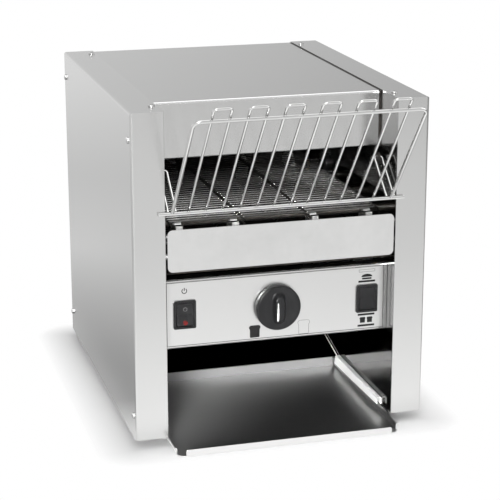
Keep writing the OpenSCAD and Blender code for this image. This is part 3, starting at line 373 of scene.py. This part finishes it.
# %% Moulded plastic, enamel and ink
def plastic(name, colour, rough, grain_size=2200, bump=0.35, shine=0.5):
    s = Shade(name)
    grain = s.noise(grain_size, detail=2)
    wear = s.ramp(s.noise(40, detail=5), 0.5, 0.75)
    return s.finish(
        Base_Color=s.mix(wear * 0.5, colour, toned(colour, 1.25, 0.01)),
        Roughness=wear * 0.12 + (grain - 0.5) * 0.12 + rough,
        Normal=s.bump(grain, bump, 0.00003),
        Specular_IOR_Level=shine,
    )


# %% [markdown]
# ## Give every piece its finish
#
# The record names a material slot for each CAD piece. One finish per slot covers most of them,
# and a few pieces get one of their own. The node stays as it is: only its material changes.

# %% Mix the finishes
steel, dull_steel = (0.58, 0.58, 0.575, 1), (0.60, 0.60, 0.595, 1)
cover = brushed_steel("cover_steel", steel, 0.20)
side_finish = folded_cover("side_steel", dull_steel, 0.20)
fascia_finish = brushed_steel("fascia_metal", dull_steel, 0.30, streak=0.05)
machined = brushed_steel("machined_steel", steel, 0.26)
motor_finish = brushed_steel("motor_metal", (0.36, 0.36, 0.37, 1), 0.40)
bright = polished_steel("bright_steel", (0.68, 0.68, 0.675, 1), 0.10)
rack_wire = polished_steel("rack_wire", (0.64, 0.64, 0.635, 1), 0.08, smear=0.03)
chain_finish = polished_steel("chain_steel", grey(0.20), 0.30)
bronze = polished_steel("bush_bronze", (0.55, 0.36, 0.16, 1), 0.32)
# Painted shade: the polished inner walls get a near-black colour for the dim mouth.
shaded_liner = polished_steel("liner_steel", (0.13, 0.13, 0.128, 1), 0.06, smear=0.03)
# Painted highlight: the sprocket teeth get a near-white steel, for the light they catch.
teeth_highlight_finish = polished_steel("tooth_steel", (0.85, 0.85, 0.84, 1), 0.32)
belt_wire = woven_steel("belt_wire", (0.80, 0.795, 0.78, 1), (0.022, 0.021, 0.020, 1), 0.22)
tray_finish = tray_steel("tray_steel", (0.66, 0.66, 0.655, 1), 0.30)
dark = heat_dark_steel("dark_steel", (0.022, 0.021, 0.020, 1), 0.38)
heat_tinted = heat_dark_steel("heat_tinted_steel", (0.030, 0.028, 0.026, 1), 0.42)
black = plastic("black_plastic", (0.008, 0.008, 0.0085, 1), 0.32, bump=0.2, shine=0.22)
white_line = plastic("pointer_white", (0.85, 0.85, 0.84, 1), 0.45)
ring_grey = plastic("ring_grey", grey(0.13), 0.5, shine=0.1)
red_lens = plastic("lamp_red", (0.10, 0.008, 0.007, 1), 0.18, bump=0.1, shine=0.3)
board = plastic("board_green", (0.03, 0.13, 0.06, 1), 0.42, grain_size=700)
ceramic = plastic("ceramic", (0.72, 0.69, 0.62, 1), 0.62, grain_size=900)
rubber = plastic("foot_rubber", grey(0.018), 0.72, grain_size=1500, bump=0.6)
quartz = plastic("heater_glass", (0.10, 0.09, 0.08, 1), 0.22, grain_size=600, bump=0.15)
enamel = plastic("white_enamel", (0.88, 0.88, 0.87, 1), 0.30, grain_size=500, bump=0.1)
ink = plastic("print_black", grey(0.012), 0.55, shine=0.08)

# %% Put them on the CAD pieces
finishes = {
    "cover_steel": cover, "dark_steel": dark, "bright_steel": bright, "fascia_metal": fascia_finish,
    "rack_wire": rack_wire, "belt_wire": belt_wire, "machined_steel": machined,
    "chain_steel": chain_finish, "motor_metal": motor_finish, "bush_bronze": bronze,
    "heater_glass": quartz, "black_plastic": black, "pointer_white": white_line,
    "lamp_red": red_lens, "board_green": board, "ceramic": ceramic, "foot_rubber": rubber,
    "liner_steel": shaded_liner, "white_enamel": enamel,
}
own_finish = {
    "exit_tray": tray_finish, "left_side_cover": side_finish, "right_side_cover": side_finish,
    "front_belt_sprockets": teeth_highlight_finish, "rear_belt_sprockets": teeth_highlight_finish,
    "upper_reflector": heat_tinted, "lower_reflector": heat_tinted,
}
for row in frame["record"]["subparts"]:
    data = NODES[row["node"]].data
    data.materials.clear()
    data.materials.append(own_finish.get(row["node"], finishes[row["material_slot"]]))
print("finishes:", len(finishes), "by slot and", len(set(own_finish.values())), "for single pieces")

# %% [markdown]
# ## Camera
#
# The camera stands a little to the user's left and looks down on the machine. It has a long lens,
# as a product photographer would use, so the box keeps nearly parallel sides.

# %% Set up the camera
camera_data = bpy.data.cameras.new("camera")
camera = bpy.data.objects.new("camera", camera_data)
bpy.context.scene.collection.objects.link(camera)
bpy.context.scene.camera = camera
camera_data.sensor_width = 36
camera_data.lens = 119.09
turn, tilt = math.radians(15.95), math.radians(16.44)
look = Vector((math.sin(turn) * math.cos(tilt), math.cos(turn) * math.cos(tilt), -math.sin(tilt)))
camera.location = (-0.5033, front - 1.6332, 0.7173)
camera.rotation_mode = "QUATERNION"
camera.rotation_quaternion = look.to_track_quat("-Z", "Y")
camera_data.clip_start, camera_data.clip_end = 0.05, 50
print("camera at", [round(v, 3) for v in camera.location])

# %% [markdown]
# ## Floor
#
# The floor is white to the camera and keeps the object's shadow. Both can't come from one
# diffuse shader under soft light, so the floor mixes two. A glowing white fills the view, and a
# diffuse surface that catches shadow takes over close to the machine. To the camera that surface
# is mid grey, which is a painted shadow round the machine's foot.
#
# Polished metal shows what stands round it. What a mirror ray finds on the floor therefore
# matters as much as the lamps: dim beside the left cover, bright in front, dark on the right.


# %% Tell the rays apart
def seen_by(s):
    """1 for rays from the camera, and 1 for those that left metal or passed through glass."""
    from_camera = s.node("LightPath", output="Is Camera Ray")
    from_metal = s.node("LightPath", output="Is Glossy Ray")
    through_glass = s.node("LightPath", output="Is Transmission Ray")
    return from_camera, (from_metal + through_glass).clamped()


# %% Lay the floor
floor_mesh = bpy.data.meshes.new("floor")
floor_half = 6.0
corners = [(-floor_half, -floor_half, 0), (floor_half, -floor_half, 0),
           (floor_half, floor_half, 0), (-floor_half, floor_half, 0)]
floor_mesh.from_pydata(corners, [], [(0, 1, 2, 3)])
floor = bpy.data.objects.new("floor", floor_mesh)
bpy.context.scene.collection.objects.link(floor)

s = Shade("floor_white")
camera_ray, mirror_ray = seen_by(s)
mirror_ray = mirror_ray * (1.0 - camera_ray)
east, north, _ = s.split(s.place())
south = 0.0 - north
away = s.node("VectorMath", {"operation": "LENGTH"}, output="Value", Vector=s.place((1.0, 0.85, 1.0)))

# %% Paint shade on the floor close to the machine
foot_low, foot_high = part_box("left_side_cover")[0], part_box("right_side_cover")[1]
beside = (abs(east) - foot_high.x).clamped()
before = (abs(north - (foot_low.y + foot_high.y) / 2) - (foot_high.y - foot_low.y) / 2).clamped()
clear = (beside * beside + before * before) ** 0.5
shadow_reach = 45 * mm
glow_share = s.ramp(clear, 0.0, shadow_reach) * 0.88 + 0.12

# %% Choose what the metal sees
left_part = s.ramp(0.0 - east - south.clamped() * 0.8, 0.10, 0.20)
right_part = s.ramp(east - south.clamped() * 0.8, 0.12, 0.32)
front_part = s.ramp(south, 0.10, 0.22) * (1.0 - left_part) * (1.0 - right_part)
back_part = (1.0 - left_part) * (1.0 - right_part) * (1.0 - front_part)
from_left = (s.ramp(away, 0.22, 0.6) * 0.44 - s.ramp(away, 0.6, 1.0) * 0.08
             + s.ramp(away, 1.0, 1.9) * 0.24 + 0.36)
from_front = 1.42 - s.ramp(south, 0.20, 0.75) * 0.40 - s.ramp(south, 0.75, 1.8) * 0.08
from_right, from_back = 0.34, 0.9
mirrored = (left_part * from_left + right_part * from_right
            + front_part * from_front + back_part * from_back)

# %% Join both floors
pale = s.mix(s.noise(3, detail=2), grey(0.90), grey(0.92))
# Painted shadow: camera rays see the diffuse floor as mid grey near the machine.
painted_shadow_tone, mirror_share = grey(0.50), 0.92
paint = s.node("BsdfDiffuse", Color=s.mix(camera_ray, pale, painted_shadow_tone))
glow = s.node("Emission", Color=grey(1.0), Strength=camera_ray + mirror_ray * mirrored)
share = camera_ray * glow_share + mirror_ray * mirror_share
floor_mesh.materials.append(s.show(s.node("MixShader", Fac=share, Shader=paint, Shader_001=glow)))
print("floor:", 2 * floor_half, "m wide")

# %% [markdown]
# ## Lamps and world
#
# Two large lamps from the left and the right and one from above give soft, plain light. A small
# low one reaches in under the panel, to the white strips beside the tray. The lamps are wide
# and weak rather than small and strong, so that their images in the steel don't clip to white.


# %% Hang the lamps
def lamp(name, place, target, size, power, spread=180):
    data = bpy.data.lights.new(name, "AREA")
    data.shape, data.size, data.size_y = "RECTANGLE", size, size
    data.energy, data.spread = power, math.radians(spread)
    obj = bpy.data.objects.new(name, data)
    obj.location = place
    obj.rotation_mode = "QUATERNION"
    obj.rotation_quaternion = (Vector(target) - Vector(place)).to_track_quat("-Z", "Y")
    bpy.context.scene.collection.objects.link(obj)


machine = (0, 0, 0.2)
lamp("key", (-1.3, -1.7, 2.6), machine, 3.2, 28)
lamp("fill", (2.3, -0.3, 1.9), machine, 2.4, 26)
lamp("top", (0.4, 0.1, 2.8), machine, 3.0, 24)
lamp("low", (-0.75, -1.85, 0.46), (0.02, -0.02, 0.03), 0.6, 2.5, spread=22)

# %% [markdown]
# The world is white to the camera. To the metal it gets darker with height, and darker again
# behind and to the right, which gives the steel its soft changes of tone. As a light it is plain.

# %% Surround it with a studio
s = Shade("studio", bpy.data.worlds.new("studio"))
camera_ray, mirror_ray = seen_by(s)
other_ray = 1.0 - (camera_ray + mirror_ray).clamped()
east, north, up = s.split(s.node("TexCoord", output="Generated"))
mirrored = 1.0 - s.ramp(up, 0.05, 0.6) * 0.35 - s.ramp(north, 0.0, 0.3) * s.ramp(east, 0.0, 0.5) * 0.45
plain_light = 0.56
strength = camera_ray + mirror_ray * mirrored + other_ray * plain_light
sky = s.node("Background", Color=grey(1.0), Strength=strength)
bpy.context.scene.world = s.show(sky, "OutputWorld")
bpy.context.scene.view_settings.view_transform = "Standard"

# %% [markdown]
# ## Wires and sheets
#
# Every piece made here is a closed skin round a row of outlines. A wire is a circle carried along
# a path, and a folded sheet is its end outline carried straight on. A curve object with a bevel
# would give a wire too, but the rings made here keep their thickness in a tight bend, and a mesh
# goes into any export as it stands.


# %% Close a skin round a row of outlines
def loft(bm, rings, closed=False):
    """Joins outlines that have as many points each. The ends are capped or joined together."""
    rows = [[bm.verts.new(point) for point in ring] for ring in rings]
    for near, far in zip(rows, rows[1:] + rows[:1] if closed else rows[1:]):
        for k in range(len(near)):
            n = (k + 1) % len(near)
            bm.faces.new((near[k], near[n], far[n], far[k]))
    if not closed:
        bm.faces.new(rows[0][::-1])
        bm.faces.new(rows[-1])


def make_object(name, bm, material, smooth=True):
    mesh = bpy.data.meshes.new(name)
    bmesh.ops.recalc_face_normals(bm, faces=bm.faces)
    bm.to_mesh(mesh)
    bm.free()
    if smooth:
        mesh.shade_smooth()
    mesh.materials.append(material)
    obj = bpy.data.objects.new(name, mesh)
    bpy.context.scene.collection.objects.link(obj)
    return obj


# %% Sweep a round wire along points
def unit(v):
    return v / v.length if v.length > 1e-12 else v


def sweep(bm, points, radius, sides=8):
    """Adds a round wire. Its rings are carried along the points without twist."""
    points = [Vector(p) for p in points]
    last = len(points) - 1
    rings, across = [], None
    for i, point in enumerate(points):
        before = unit(point - points[i - 1]) if i else unit(points[1] - point)
        after = unit(points[i + 1] - point) if i < last else before
        along = unit(before + after)
        across = along.orthogonal() if across is None else across
        across = unit(across - along * across.dot(along))
        other = along.cross(across)
        stretch = 1 / max(0.5, along.dot(before)) if 0 < i < last else 1
        angles = [2 * math.pi * k / sides for k in range(sides)]
        rings.append([point + (across * math.cos(a) + other * math.sin(a)) * radius * stretch
                      for a in angles])
    loft(bm, rings)


# %% [markdown]
# ## The wire belt
#
# The belt is woven from separate round wires. Each wire crosses the belt in three straight
# spans. Between the spans it steps forward by one pitch in a Z, and hooks round the step of the
# next wire. At both edges it ends in a link that closes on its neighbour. The solid model has
# flat-sided wires in the same places, so the round ones can take over from it exactly.
#
# The loop has two straight runs and two half turns round the sprockets. A point on it is given by
# its row, counted from the front turn. Then one drawing of a wire serves all the rows.

# %% Measure the loop
belt_low, belt_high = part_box("conveyor_belt")
belt_middle = (belt_low.x + belt_high.x) / 2
belt_width = belt_high.x - belt_low.x
pitch, links, teeth, wire = 9.2 * mm, 76, 13, 1.8 * mm
roll_r = pitch / (2 * math.sin(math.pi / teeth))
half_turn = teeth / 2
straight_rows = (links - teeth) / 2
span = straight_rows * pitch
axle_y = belt_low.y + (belt_high.y - belt_low.y - span) / 2
axle_z = (belt_low.z + belt_high.z) / 2
print("belt loop:", round(span * 1000, 1), "mm between axles, radius", round(roll_r * 1000, 2), "mm")


def belt_point(x, t):
    """The point at width x and row number t, counted from the front turn, along the loop."""
    t = t % links
    if t < straight_rows:
        return Vector((x, axle_y + t * pitch, axle_z + roll_r))
    if t < straight_rows + half_turn:
        a = (t - straight_rows) * 2 * math.pi / teeth
        return Vector((x, axle_y + span + roll_r * math.sin(a), axle_z + roll_r * math.cos(a)))
    if t < 2 * straight_rows + half_turn:
        return Vector((x, axle_y + span - (t - straight_rows - half_turn) * pitch, axle_z - roll_r))
    a = math.pi + (t - 2 * straight_rows - half_turn) * 2 * math.pi / teeth
    return Vector((x, axle_y + roll_r * math.sin(a), axle_z + roll_r * math.cos(a)))


# %% [markdown]
# One wire is a list of places: how far across the belt, and how many rows ahead. The Z and the
# link at the edge are drawn once and used twice.

# %% Draw one wire
edge = belt_width / 2 - wire / 2
joint, reach = 36 * mm, 2.6 * mm
edge_link = [(0.0, 0.98), (0.0, 0.55), (0.0, 0.18), (1.0 * mm, 0.03), (2.4 * mm, 0.0)]
z_step = [(-reach - 1.2 * mm, 0.0), (-reach, 0.02), (-reach + 0.7 * mm, -0.10),
          (reach - 0.7 * mm, -0.90), (reach, -1.02), (reach + 1.2 * mm, -1.0)]
one_wire = [(-edge + inward, ahead) for inward, ahead in edge_link]
one_wire += [(-joint + x, ahead) for x, ahead in z_step]
one_wire += [(joint + x, ahead - 1.0) for x, ahead in z_step]
one_wire += [(edge - inward, ahead - 2.0) for inward, ahead in reversed(edge_link)]
print("one wire:", len(one_wire), "points")

# %% Weave the belt
bm = bmesh.new()
for row in range(links):
    sweep(bm, [belt_point(belt_middle + x, row + ahead) for x, ahead in one_wire], wire / 2)
belt = make_object("woven_belt", bm, belt_wire)
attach(belt, "body")
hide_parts("conveyor_belt")
print("belt:", links, "wires,", len(belt.data.polygons), "faces")

# %% [markdown]
# ## The tray guides
#
# A white strip on each inner wall keeps the toast off the tray's side flange. It is an upside-down
# channel of enamelled sheet whose inner leg tapers towards the back. A folded sheet is easiest to
# make as one outline with round folds, drawn in width and height and carried from the front end to
# the back end.


# %% Fold a sheet
def fold(path, thickness, radius, steps=4):
    """The closed outline of a sheet that is folded along a path of (u, v) points."""
    path = [Vector(p) for p in path]
    middle = [(path[0], (path[1] - path[0]).normalized())]
    for before, corner, after in zip(path, path[1:], path[2:]):
        a, b = (corner - before).normalized(), (after - corner).normalized()
        turn = a.angle_signed(b)
        reach = radius * math.tan(abs(turn) / 2)
        start, end = corner - a * reach, corner + b * reach
        for k in range(steps + 1):
            t = k / steps
            point = start * (1 - t) ** 2 + corner * 2 * t * (1 - t) + end * t ** 2
            middle.append((point, a.slerp(b, t) if abs(turn) > 1e-6 else a))
    middle.append((path[-1], (path[-1] - path[-2]).normalized()))
    left = [p + Vector((-d.y, d.x)) * thickness / 2 for p, d in middle]
    right = [p - Vector((-d.y, d.x)) * thickness / 2 for p, d in middle]
    return left + right[::-1]


# %% Fold the two guides
guide_sheet, guide_fold = 1 * mm, 1 * mm
shelf_up, wall_flange = 12.6 * mm, 8 * mm
front_leg, back_leg = 7.6 * mm, 11.4 * mm
back_cut, back_slant = 4 * mm, 0.8
for side, name in ((-1, "left_tray_guide"), (1, "right_tray_guide")):
    near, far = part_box(name)
    wall, inner = (near.x, far.x) if side < 0 else (far.x, near.x)
    wall, inner = wall - side * guide_sheet / 2, inner + side * guide_sheet / 2
    shelf = near.z + shelf_up
    rings = []
    for y, leg, slant in ((near.y, front_leg, 0.0), (far.y - back_cut, back_leg, back_slant)):
        corners = [(wall, shelf - wall_flange), (wall, shelf), (inner, shelf), (inner, shelf - leg)]
        outline = fold(corners, guide_sheet, guide_fold)
        rings.append([(x, min(y + (shelf - z) * slant, far.y), z) for x, z in outline])
    bm = bmesh.new()
    loft(bm, rings)
    guide = make_object(name + "_strip", bm, enamel, smooth=False)
    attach(guide, "body")
    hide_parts(name)
    print(name, "is", round((far.y - near.y) * 1000, 1), "mm long")

# %% [markdown]
# ## The edge of the chute
#
# The chute is a bent sheet. Its cut edge is rolled over a wire, so that toast doesn't catch on it.
# The wire follows the slope of the chute and bends up with its back. The path is drawn from the
# side: a straight part up to the place where the bend starts, and an arc from there.

# %% Draw the edge from the side
slope, bend_r, lift = math.radians(13.5), 68 * mm, 1.1 * mm
start, back_y = Vector((front + 184 * mm, 14.1 * mm)), front + 383.5 * mm
middle_y = back_y - bend_r
touch = Vector((middle_y + bend_r * math.sin(slope), 0))
touch.y = start.y + (touch.x - start.x) * math.tan(slope)
middle_z = touch.y + bend_r * math.cos(slope)
off_sheet = Vector((-math.sin(slope), math.cos(slope))) * lift
straight_steps, bend_steps = 6, 12
chute_path = [start + (touch - start) * k / straight_steps + off_sheet for k in range(straight_steps)]
for k in range(bend_steps + 1):
    a = -math.pi / 2 + slope + (math.pi / 2 - slope) * k / bend_steps
    chute_path.append(Vector((middle_y, middle_z))
                      + Vector((math.cos(a), math.sin(a))) * (bend_r - lift))
print("chute bend: starts", round((touch.x - front) * 1000, 1), "mm behind the front")

# %% Roll the edge of the chute
bead_r, bead_inset = 0.45 * mm, 1.2 * mm
bead_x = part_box("toast_chute")[1].x - bead_inset
bm = bmesh.new()
for side in (-1, 1):
    sweep(bm, [(side * bead_x, p.x, p.y) for p in chute_path], bead_r)
bead = make_object("chute_bead", bm, enamel)
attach(bead, "body")
print("chute edge:", len(chute_path), "points, at x", round(bead_x * 1000, 1), "mm")

# %% [markdown]
# ## Painted shadows in the seams of the top
#
# The top plate slips under the edges of the side covers, and the apron stops just short of them.
# The shade in each joint is painted: a narrow dark strip from the back of the machine to the foot
# of the apron, which follows the plate over its front fold. The strip on the right is the wider
# one.

# %% Lay the painted seam shadows
cover_low, cover_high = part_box("top_cover")
seam_sheet, seam_bend, seam_gap = 0.24 * mm, 2.7 * mm, 0.05 * mm
for side, name, shadow_w in ((-1, "left_seam", 0.5 * mm), (1, "right_seam", 2.2 * mm)):
    path = [(cover_high.y - 1 * mm, cover_high.z), (cover_low.y, cover_high.z),
            (cover_low.y, cover_low.z + 0.5 * mm)]
    outline = fold(path, seam_sheet, seam_bend, steps=8)
    bm = bmesh.new()
    edges = (opening_x - shadow_w, opening_x - seam_gap)
    loft(bm, [[(side * x, y, z) for y, z in outline] for x in edges])
    # Painted shadow: a dark strip on the plate along the joint.
    seam_shadow = make_object(name, bm, dark, smooth=False)
    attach(seam_shadow, "body")
print("seams: 2 strips at x", round(opening_x * 1000, 1), "mm")

# %% [markdown]
# ## Printing on the fascia
#
# The marks are printed ink. Each is a thin closed plate that stands a few hundredths of a
# millimetre proud of the metal, so that it is a real shape in any export. Lines are ribbons of a
# constant width along a path, and filled marks are plates with an outline. The marks carry no
# words: a power mark, a bun and a slice say what the switches do. A dark line round the fascia's
# edge is made the same way, and is a painted shadow.


# %% Ribbons and plates of ink
class Print:
    """Marks on a face. at(u, v, d) gives the point at d above the face."""

    def __init__(self, at, height=0.05 * mm):
        self.bm, self.at, self.height = bmesh.new(), at, height

    def plate(self, outline):
        loft(self.bm, [[self.at(u, v, d) for u, v in outline] for d in (0.0, self.height)])

    def line(self, points, width, closed=False):
        points = [Vector(p) for p in points]
        last = len(points) - 1
        rings = []
        for i, point in enumerate(points):
            back = points[i - 1] if i or closed else None
            ahead = points[(i + 1) % len(points)] if i < last or closed else None
            a = unit(ahead - point) if back is None else unit(point - back)
            b = a if ahead is None else unit(ahead - point)
            normal = unit(Vector((-a.y - b.y, a.x + b.x)))
            reach = width / 2 / max(0.5, normal.dot(Vector((-a.y, a.x))))
            one, other = point + normal * reach, point - normal * reach
            corners = ((one, 0.0), (other, 0.0), (other, self.height), (one, self.height))
            rings.append([self.at(p.x, p.y, d) for p, d in corners])
        loft(self.bm, rings, closed)

    def done(self, name, material, body, slot):
        obj = make_object(name, self.bm, material, smooth=False)
        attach(obj, body)
        return obj


# %% [markdown]
# The outlines are made of arcs. A slice of bread has straight sides under two round lobes, and a
# bun is a dome over a flat base.


# %% Outlines of the marks
def arc(u, v, radius, start, end, steps=12, squash=1.0):
    """Points round a centre, with the angles in degrees."""
    angles = [math.radians(start + (end - start) * k / steps) for k in range(steps + 1)]
    return [(u + radius * math.cos(a), v + radius * squash * math.sin(a)) for a in angles]


def box_outline(u, v, half_w, half_h):
    return [(u - half_w, v - half_h), (u + half_w, v - half_h),
            (u + half_w, v + half_h), (u - half_w, v + half_h)]


def slice_outline(u, v, width, height):
    side, lobe, foot = width * 0.42, width * 0.2, width * 0.08
    top = v + height / 2 - lobe
    low = v - height / 2
    return (arc(u - side + foot, low + foot, foot, 180, 270, 4)
            + arc(u + side - foot, low + foot, foot, 270, 360, 4)
            + arc(u + width / 2 - lobe, top, lobe, -50, 90, 8)
            + arc(u - width / 2 + lobe, top, lobe, 90, 230, 8))


def bun_outlines(u, v, width, height):
    gap, base_r = height * 0.14, height * 0.16
    base_u, base_v = width / 2 - gap * 2, v - gap - base_r
    dome = arc(u, v, width / 2, 0, 180, 16, squash=height * 0.55 / (width / 2))
    base = (arc(u - base_u, base_v, base_r, 90, 270, 6)
            + arc(u + base_u, base_v, base_r, -90, 90, 6))
    return dome, base


# %% Ink for the fascia
fascia_low, fascia_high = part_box("fascia")
power_low, power_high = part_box("power_switch_body")
choice_low, choice_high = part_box("selector_switch_body")
power_x, choice_x = (power_low.x + power_high.x) / 2, (choice_low.x + choice_high.x) / 2


def on_fascia(u, v, d):
    return (u, fascia_low.y - d, v)


marks, thin = Print(on_fascia), Print(on_fascia)
thin_line = 0.3 * mm
print("fascia face at y", round(fascia_low.y * 1000, 1), "mm")

# %% Print the power mark over its switch
stroke = 0.9 * mm
mark_z = power_high.z + 10.6 * mm
marks.line(arc(power_x, mark_z, 2.7 * mm, 125, 415, 20), stroke)
marks.line([(power_x, mark_z + 0.2 * mm), (power_x, mark_z + 3.6 * mm)], stroke)
print("power mark at x", round(power_x * 1000, 1), "z", round(mark_z * 1000, 1), "mm")

# %% Print the bun, the slices and the dashes round the selector
dash_half_w, dash_half_h = 9.9 * mm, 1.15 * mm
for z in (choice_high.z + 3.8 * mm, choice_low.z - 3.0 * mm, choice_low.z - 15.9 * mm):
    marks.plate(box_outline(choice_x, z, dash_half_w, dash_half_h))
for outline in bun_outlines(choice_x, choice_high.z + 8.9 * mm, 13 * mm, 6.2 * mm):
    marks.plate(outline)
for shift in (-4.2 * mm, 4.2 * mm):
    marks.plate(slice_outline(choice_x + shift, choice_low.z - 9.4 * mm, 7.0 * mm, 6.6 * mm))
top_dash = box_outline(choice_x, choice_high.z + 16.2 * mm, 9.3 * mm, 1.3 * mm)
thin.line(top_dash, thin_line, closed=True)
print("selector marks round x", round(choice_x * 1000, 1), "mm")

# %% Print the dark and the light slice beside the knob, and paint the edge shadow
slice_z = power_low.z - 11 * mm
dark_slice_x, light_slice_x = -25.3 * mm, 31.2 * mm
marks.plate(slice_outline(dark_slice_x, slice_z, 13.2 * mm, 14.2 * mm))
thin.line(slice_outline(light_slice_x, slice_z, 13.6 * mm, 16 * mm), thin_line, closed=True)

# Painted shadow: a dark line just inside the fascia's edge, for the shade along that edge.
inset, edge_shadow_line = 0.5 * mm, 0.6 * mm
west, east_edge = fascia_low.x + inset, fascia_high.x - inset
foot, head = fascia_low.z + inset, fascia_high.z - inset
edge_shadow = [(west, foot), (east_edge, foot), (east_edge, head), (west, head)]
marks.line(edge_shadow, edge_shadow_line, closed=True)
fascia_marks = marks.done("fascia_marks", ink, "body", "black_plastic")
fascia_thin_marks = thin.done("fascia_thin_marks", ink, "body", "black_plastic")
print("ink:", len(fascia_marks.data.polygons) + len(fascia_thin_marks.data.polygons), "faces")

# %% [markdown]
# ## The speed knob
#
# A moulded knob has no sharp edges: the grip grows out of the face with soft fillets. The solid
# model joins a skirt and a grip with hard lines, so the knob is made again as one skin. Its face
# is a grid of rings whose height is a formula, and the same formula lays the white pointer on it.

# %% Measure the knob
knob_low, knob_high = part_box("speed_knob")
knob_x, knob_z = (knob_low.x + knob_high.x) / 2, (knob_low.z + knob_high.z) / 2
knob_r, knob_back = (knob_high.x - knob_low.x) / 2, knob_high.y
knob_total = knob_high.y - knob_low.y
skirt, rim = 7.5 * mm, 2.2 * mm
grip_half_w, grip_half_l = 7.3 * mm, 17.5 * mm
dish_depth, dish_edge, dish_slope = 0.5 * mm, 3 * mm, 6 * mm
crown_along, crown_across = 0.28, 0.12
fillet_foot, fillet_width = 1.06, 0.38
print("knob:", round(knob_r * 2000, 1), "mm across and", round(knob_total * 1000, 1), "mm high")


# %% [markdown]
# The height has three parts: the skirt with its round rim, a shallow dish in it, and the grip.
# `out` is 1 on the grip's outline, a rounded oblong, and smaller inside it. Easing over `out`
# from just outside the outline to well inside it gives the fillet, and the crown lowers the ends.


# %% The height of its face
def ease(t):
    """0 to 1 with a flat start and a flat end."""
    t = min(1.0, max(0.0, t))
    return t * t * (3 - 2 * t)


def knob_height(u, v):
    """Height of the knob's face over its back, at u across and v up."""
    round_out = math.hypot(u, v)
    edge = max(0.0, round_out - (knob_r - rim))
    top = skirt - rim + math.sqrt(max(0.0, rim * rim - edge * edge))
    dish = dish_depth * ease((knob_r - dish_edge - round_out) / dish_slope)
    out = ((abs(u) / grip_half_w) ** 3 + (abs(v) / grip_half_l) ** 4) ** (1 / 3.4)
    crown = 1 - crown_along * (v / grip_half_l) ** 2 - crown_across * (u / grip_half_w) ** 2
    rise = ease((fillet_foot - out) / fillet_width)
    return top - dish * (1 - rise) + (knob_total - skirt) * crown * rise


def on_knob(u, v, d=0.0):
    return (knob_x + u, knob_back - knob_height(u, v) - d, knob_z + v)


# %% [markdown]
# The rings lie evenly over the face and closer together round the rim, where the skin bends most.

# %% Mould the knob
around, steps_out, face_rings, rim_rings = 120, 44, 40, 8
face_radii = [knob_r * (k / steps_out) for k in range(1, face_rings + 1)]
rim_turns = [math.pi / 2 * k / rim_rings for k in range(1, rim_rings + 1)]
rim_radii = [knob_r - rim + rim * math.sin(a) for a in rim_turns]
radii = face_radii + [r for r in rim_radii if r > face_radii[-1] + 0.05 * mm]
angles = [2 * math.pi * k / around for k in range(around)]
bm = bmesh.new()
centre = bm.verts.new(on_knob(0, 0))
rows = [[bm.verts.new(on_knob(r * math.cos(a), r * math.sin(a))) for a in angles] for r in radii]
outer = rows[-1]
for depth in (2.5 * mm, 0.0):
    rows.append([bm.verts.new((v.co.x, knob_back - depth, v.co.z)) for v in outer])
for k in range(around):
    n = (k + 1) % around
    bm.faces.new((centre, rows[0][k], rows[0][n]))
    for near, far in zip(rows, rows[1:]):
        bm.faces.new((near[k], far[k], far[n], near[n]))
bm.faces.new(rows[-1])
knob = make_object("moulded_knob", bm, black)
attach(knob, "speed_dial")
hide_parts("speed_knob")
print("knob skin:", len(knob.data.polygons), "faces")

# %% Lay the pointer on it
pointer_u, pointer_steps = -2.6 * mm, 24
foot_v, tip_v = -13.5 * mm, 8 * mm
foot_w, tip_w = 2.0 * mm, 1.0 * mm
section = [(-1, 0.10), (-0.5, 0.16), (0, 0.18), (0.5, 0.16), (1, 0.10), (1, -0.4), (-1, -0.4)]
rings = []
for k in range(pointer_steps + 1):
    t = k / pointer_steps
    v = foot_v + (tip_v - foot_v) * t
    rounded = math.sqrt(max(0.12, 1 - (2 * t - 1) ** 12))
    half = (foot_w + (tip_w - foot_w) * t) / 2 * rounded
    rings.append([on_knob(pointer_u + half * across, v, proud * mm) for across, proud in section])
bm = bmesh.new()
loft(bm, rings)
pointer = make_object("moulded_pointer", bm, white_line, smooth=False)
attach(pointer, "speed_dial")
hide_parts("knob_pointer")
print("pointer:", round((tip_v - foot_v) * 1000, 1), "mm long")

# %% [markdown]
# ## The ring on the power rocker
#
# A rocker switch shows its off side with a ring. The rocker's face is hollow, so each point of
# the ring is found by a ray from the front, which lands on the face wherever it is.

# %% Print the ring on the power rocker
rocker_face = BVHTree.FromObject(NODES["power_rocker"], bpy.context.evaluated_depsgraph_get())


def on_rocker(u, v, d):
    hit = rocker_face.ray_cast(Vector((u, front - 50 * mm, v)), Vector((0, 1, 0)))[0]
    return (u, hit.y - d, v)


ring_x, ring_z = power_x + 0.4 * mm, (power_low.z + power_high.z) / 2 + 6.2 * mm
ring_r, ring_line = 2.0 * mm, 0.55 * mm
ring = Print(on_rocker, height=0.06 * mm)
ring.line(arc(ring_x, ring_z, ring_r, 0, 345, 23), ring_line, closed=True)
ring.done("power_ring", ring_grey, "power_key", "pointer_white")
print("ring on the rocker at z", round(ring_z * 1000, 1), "mm")
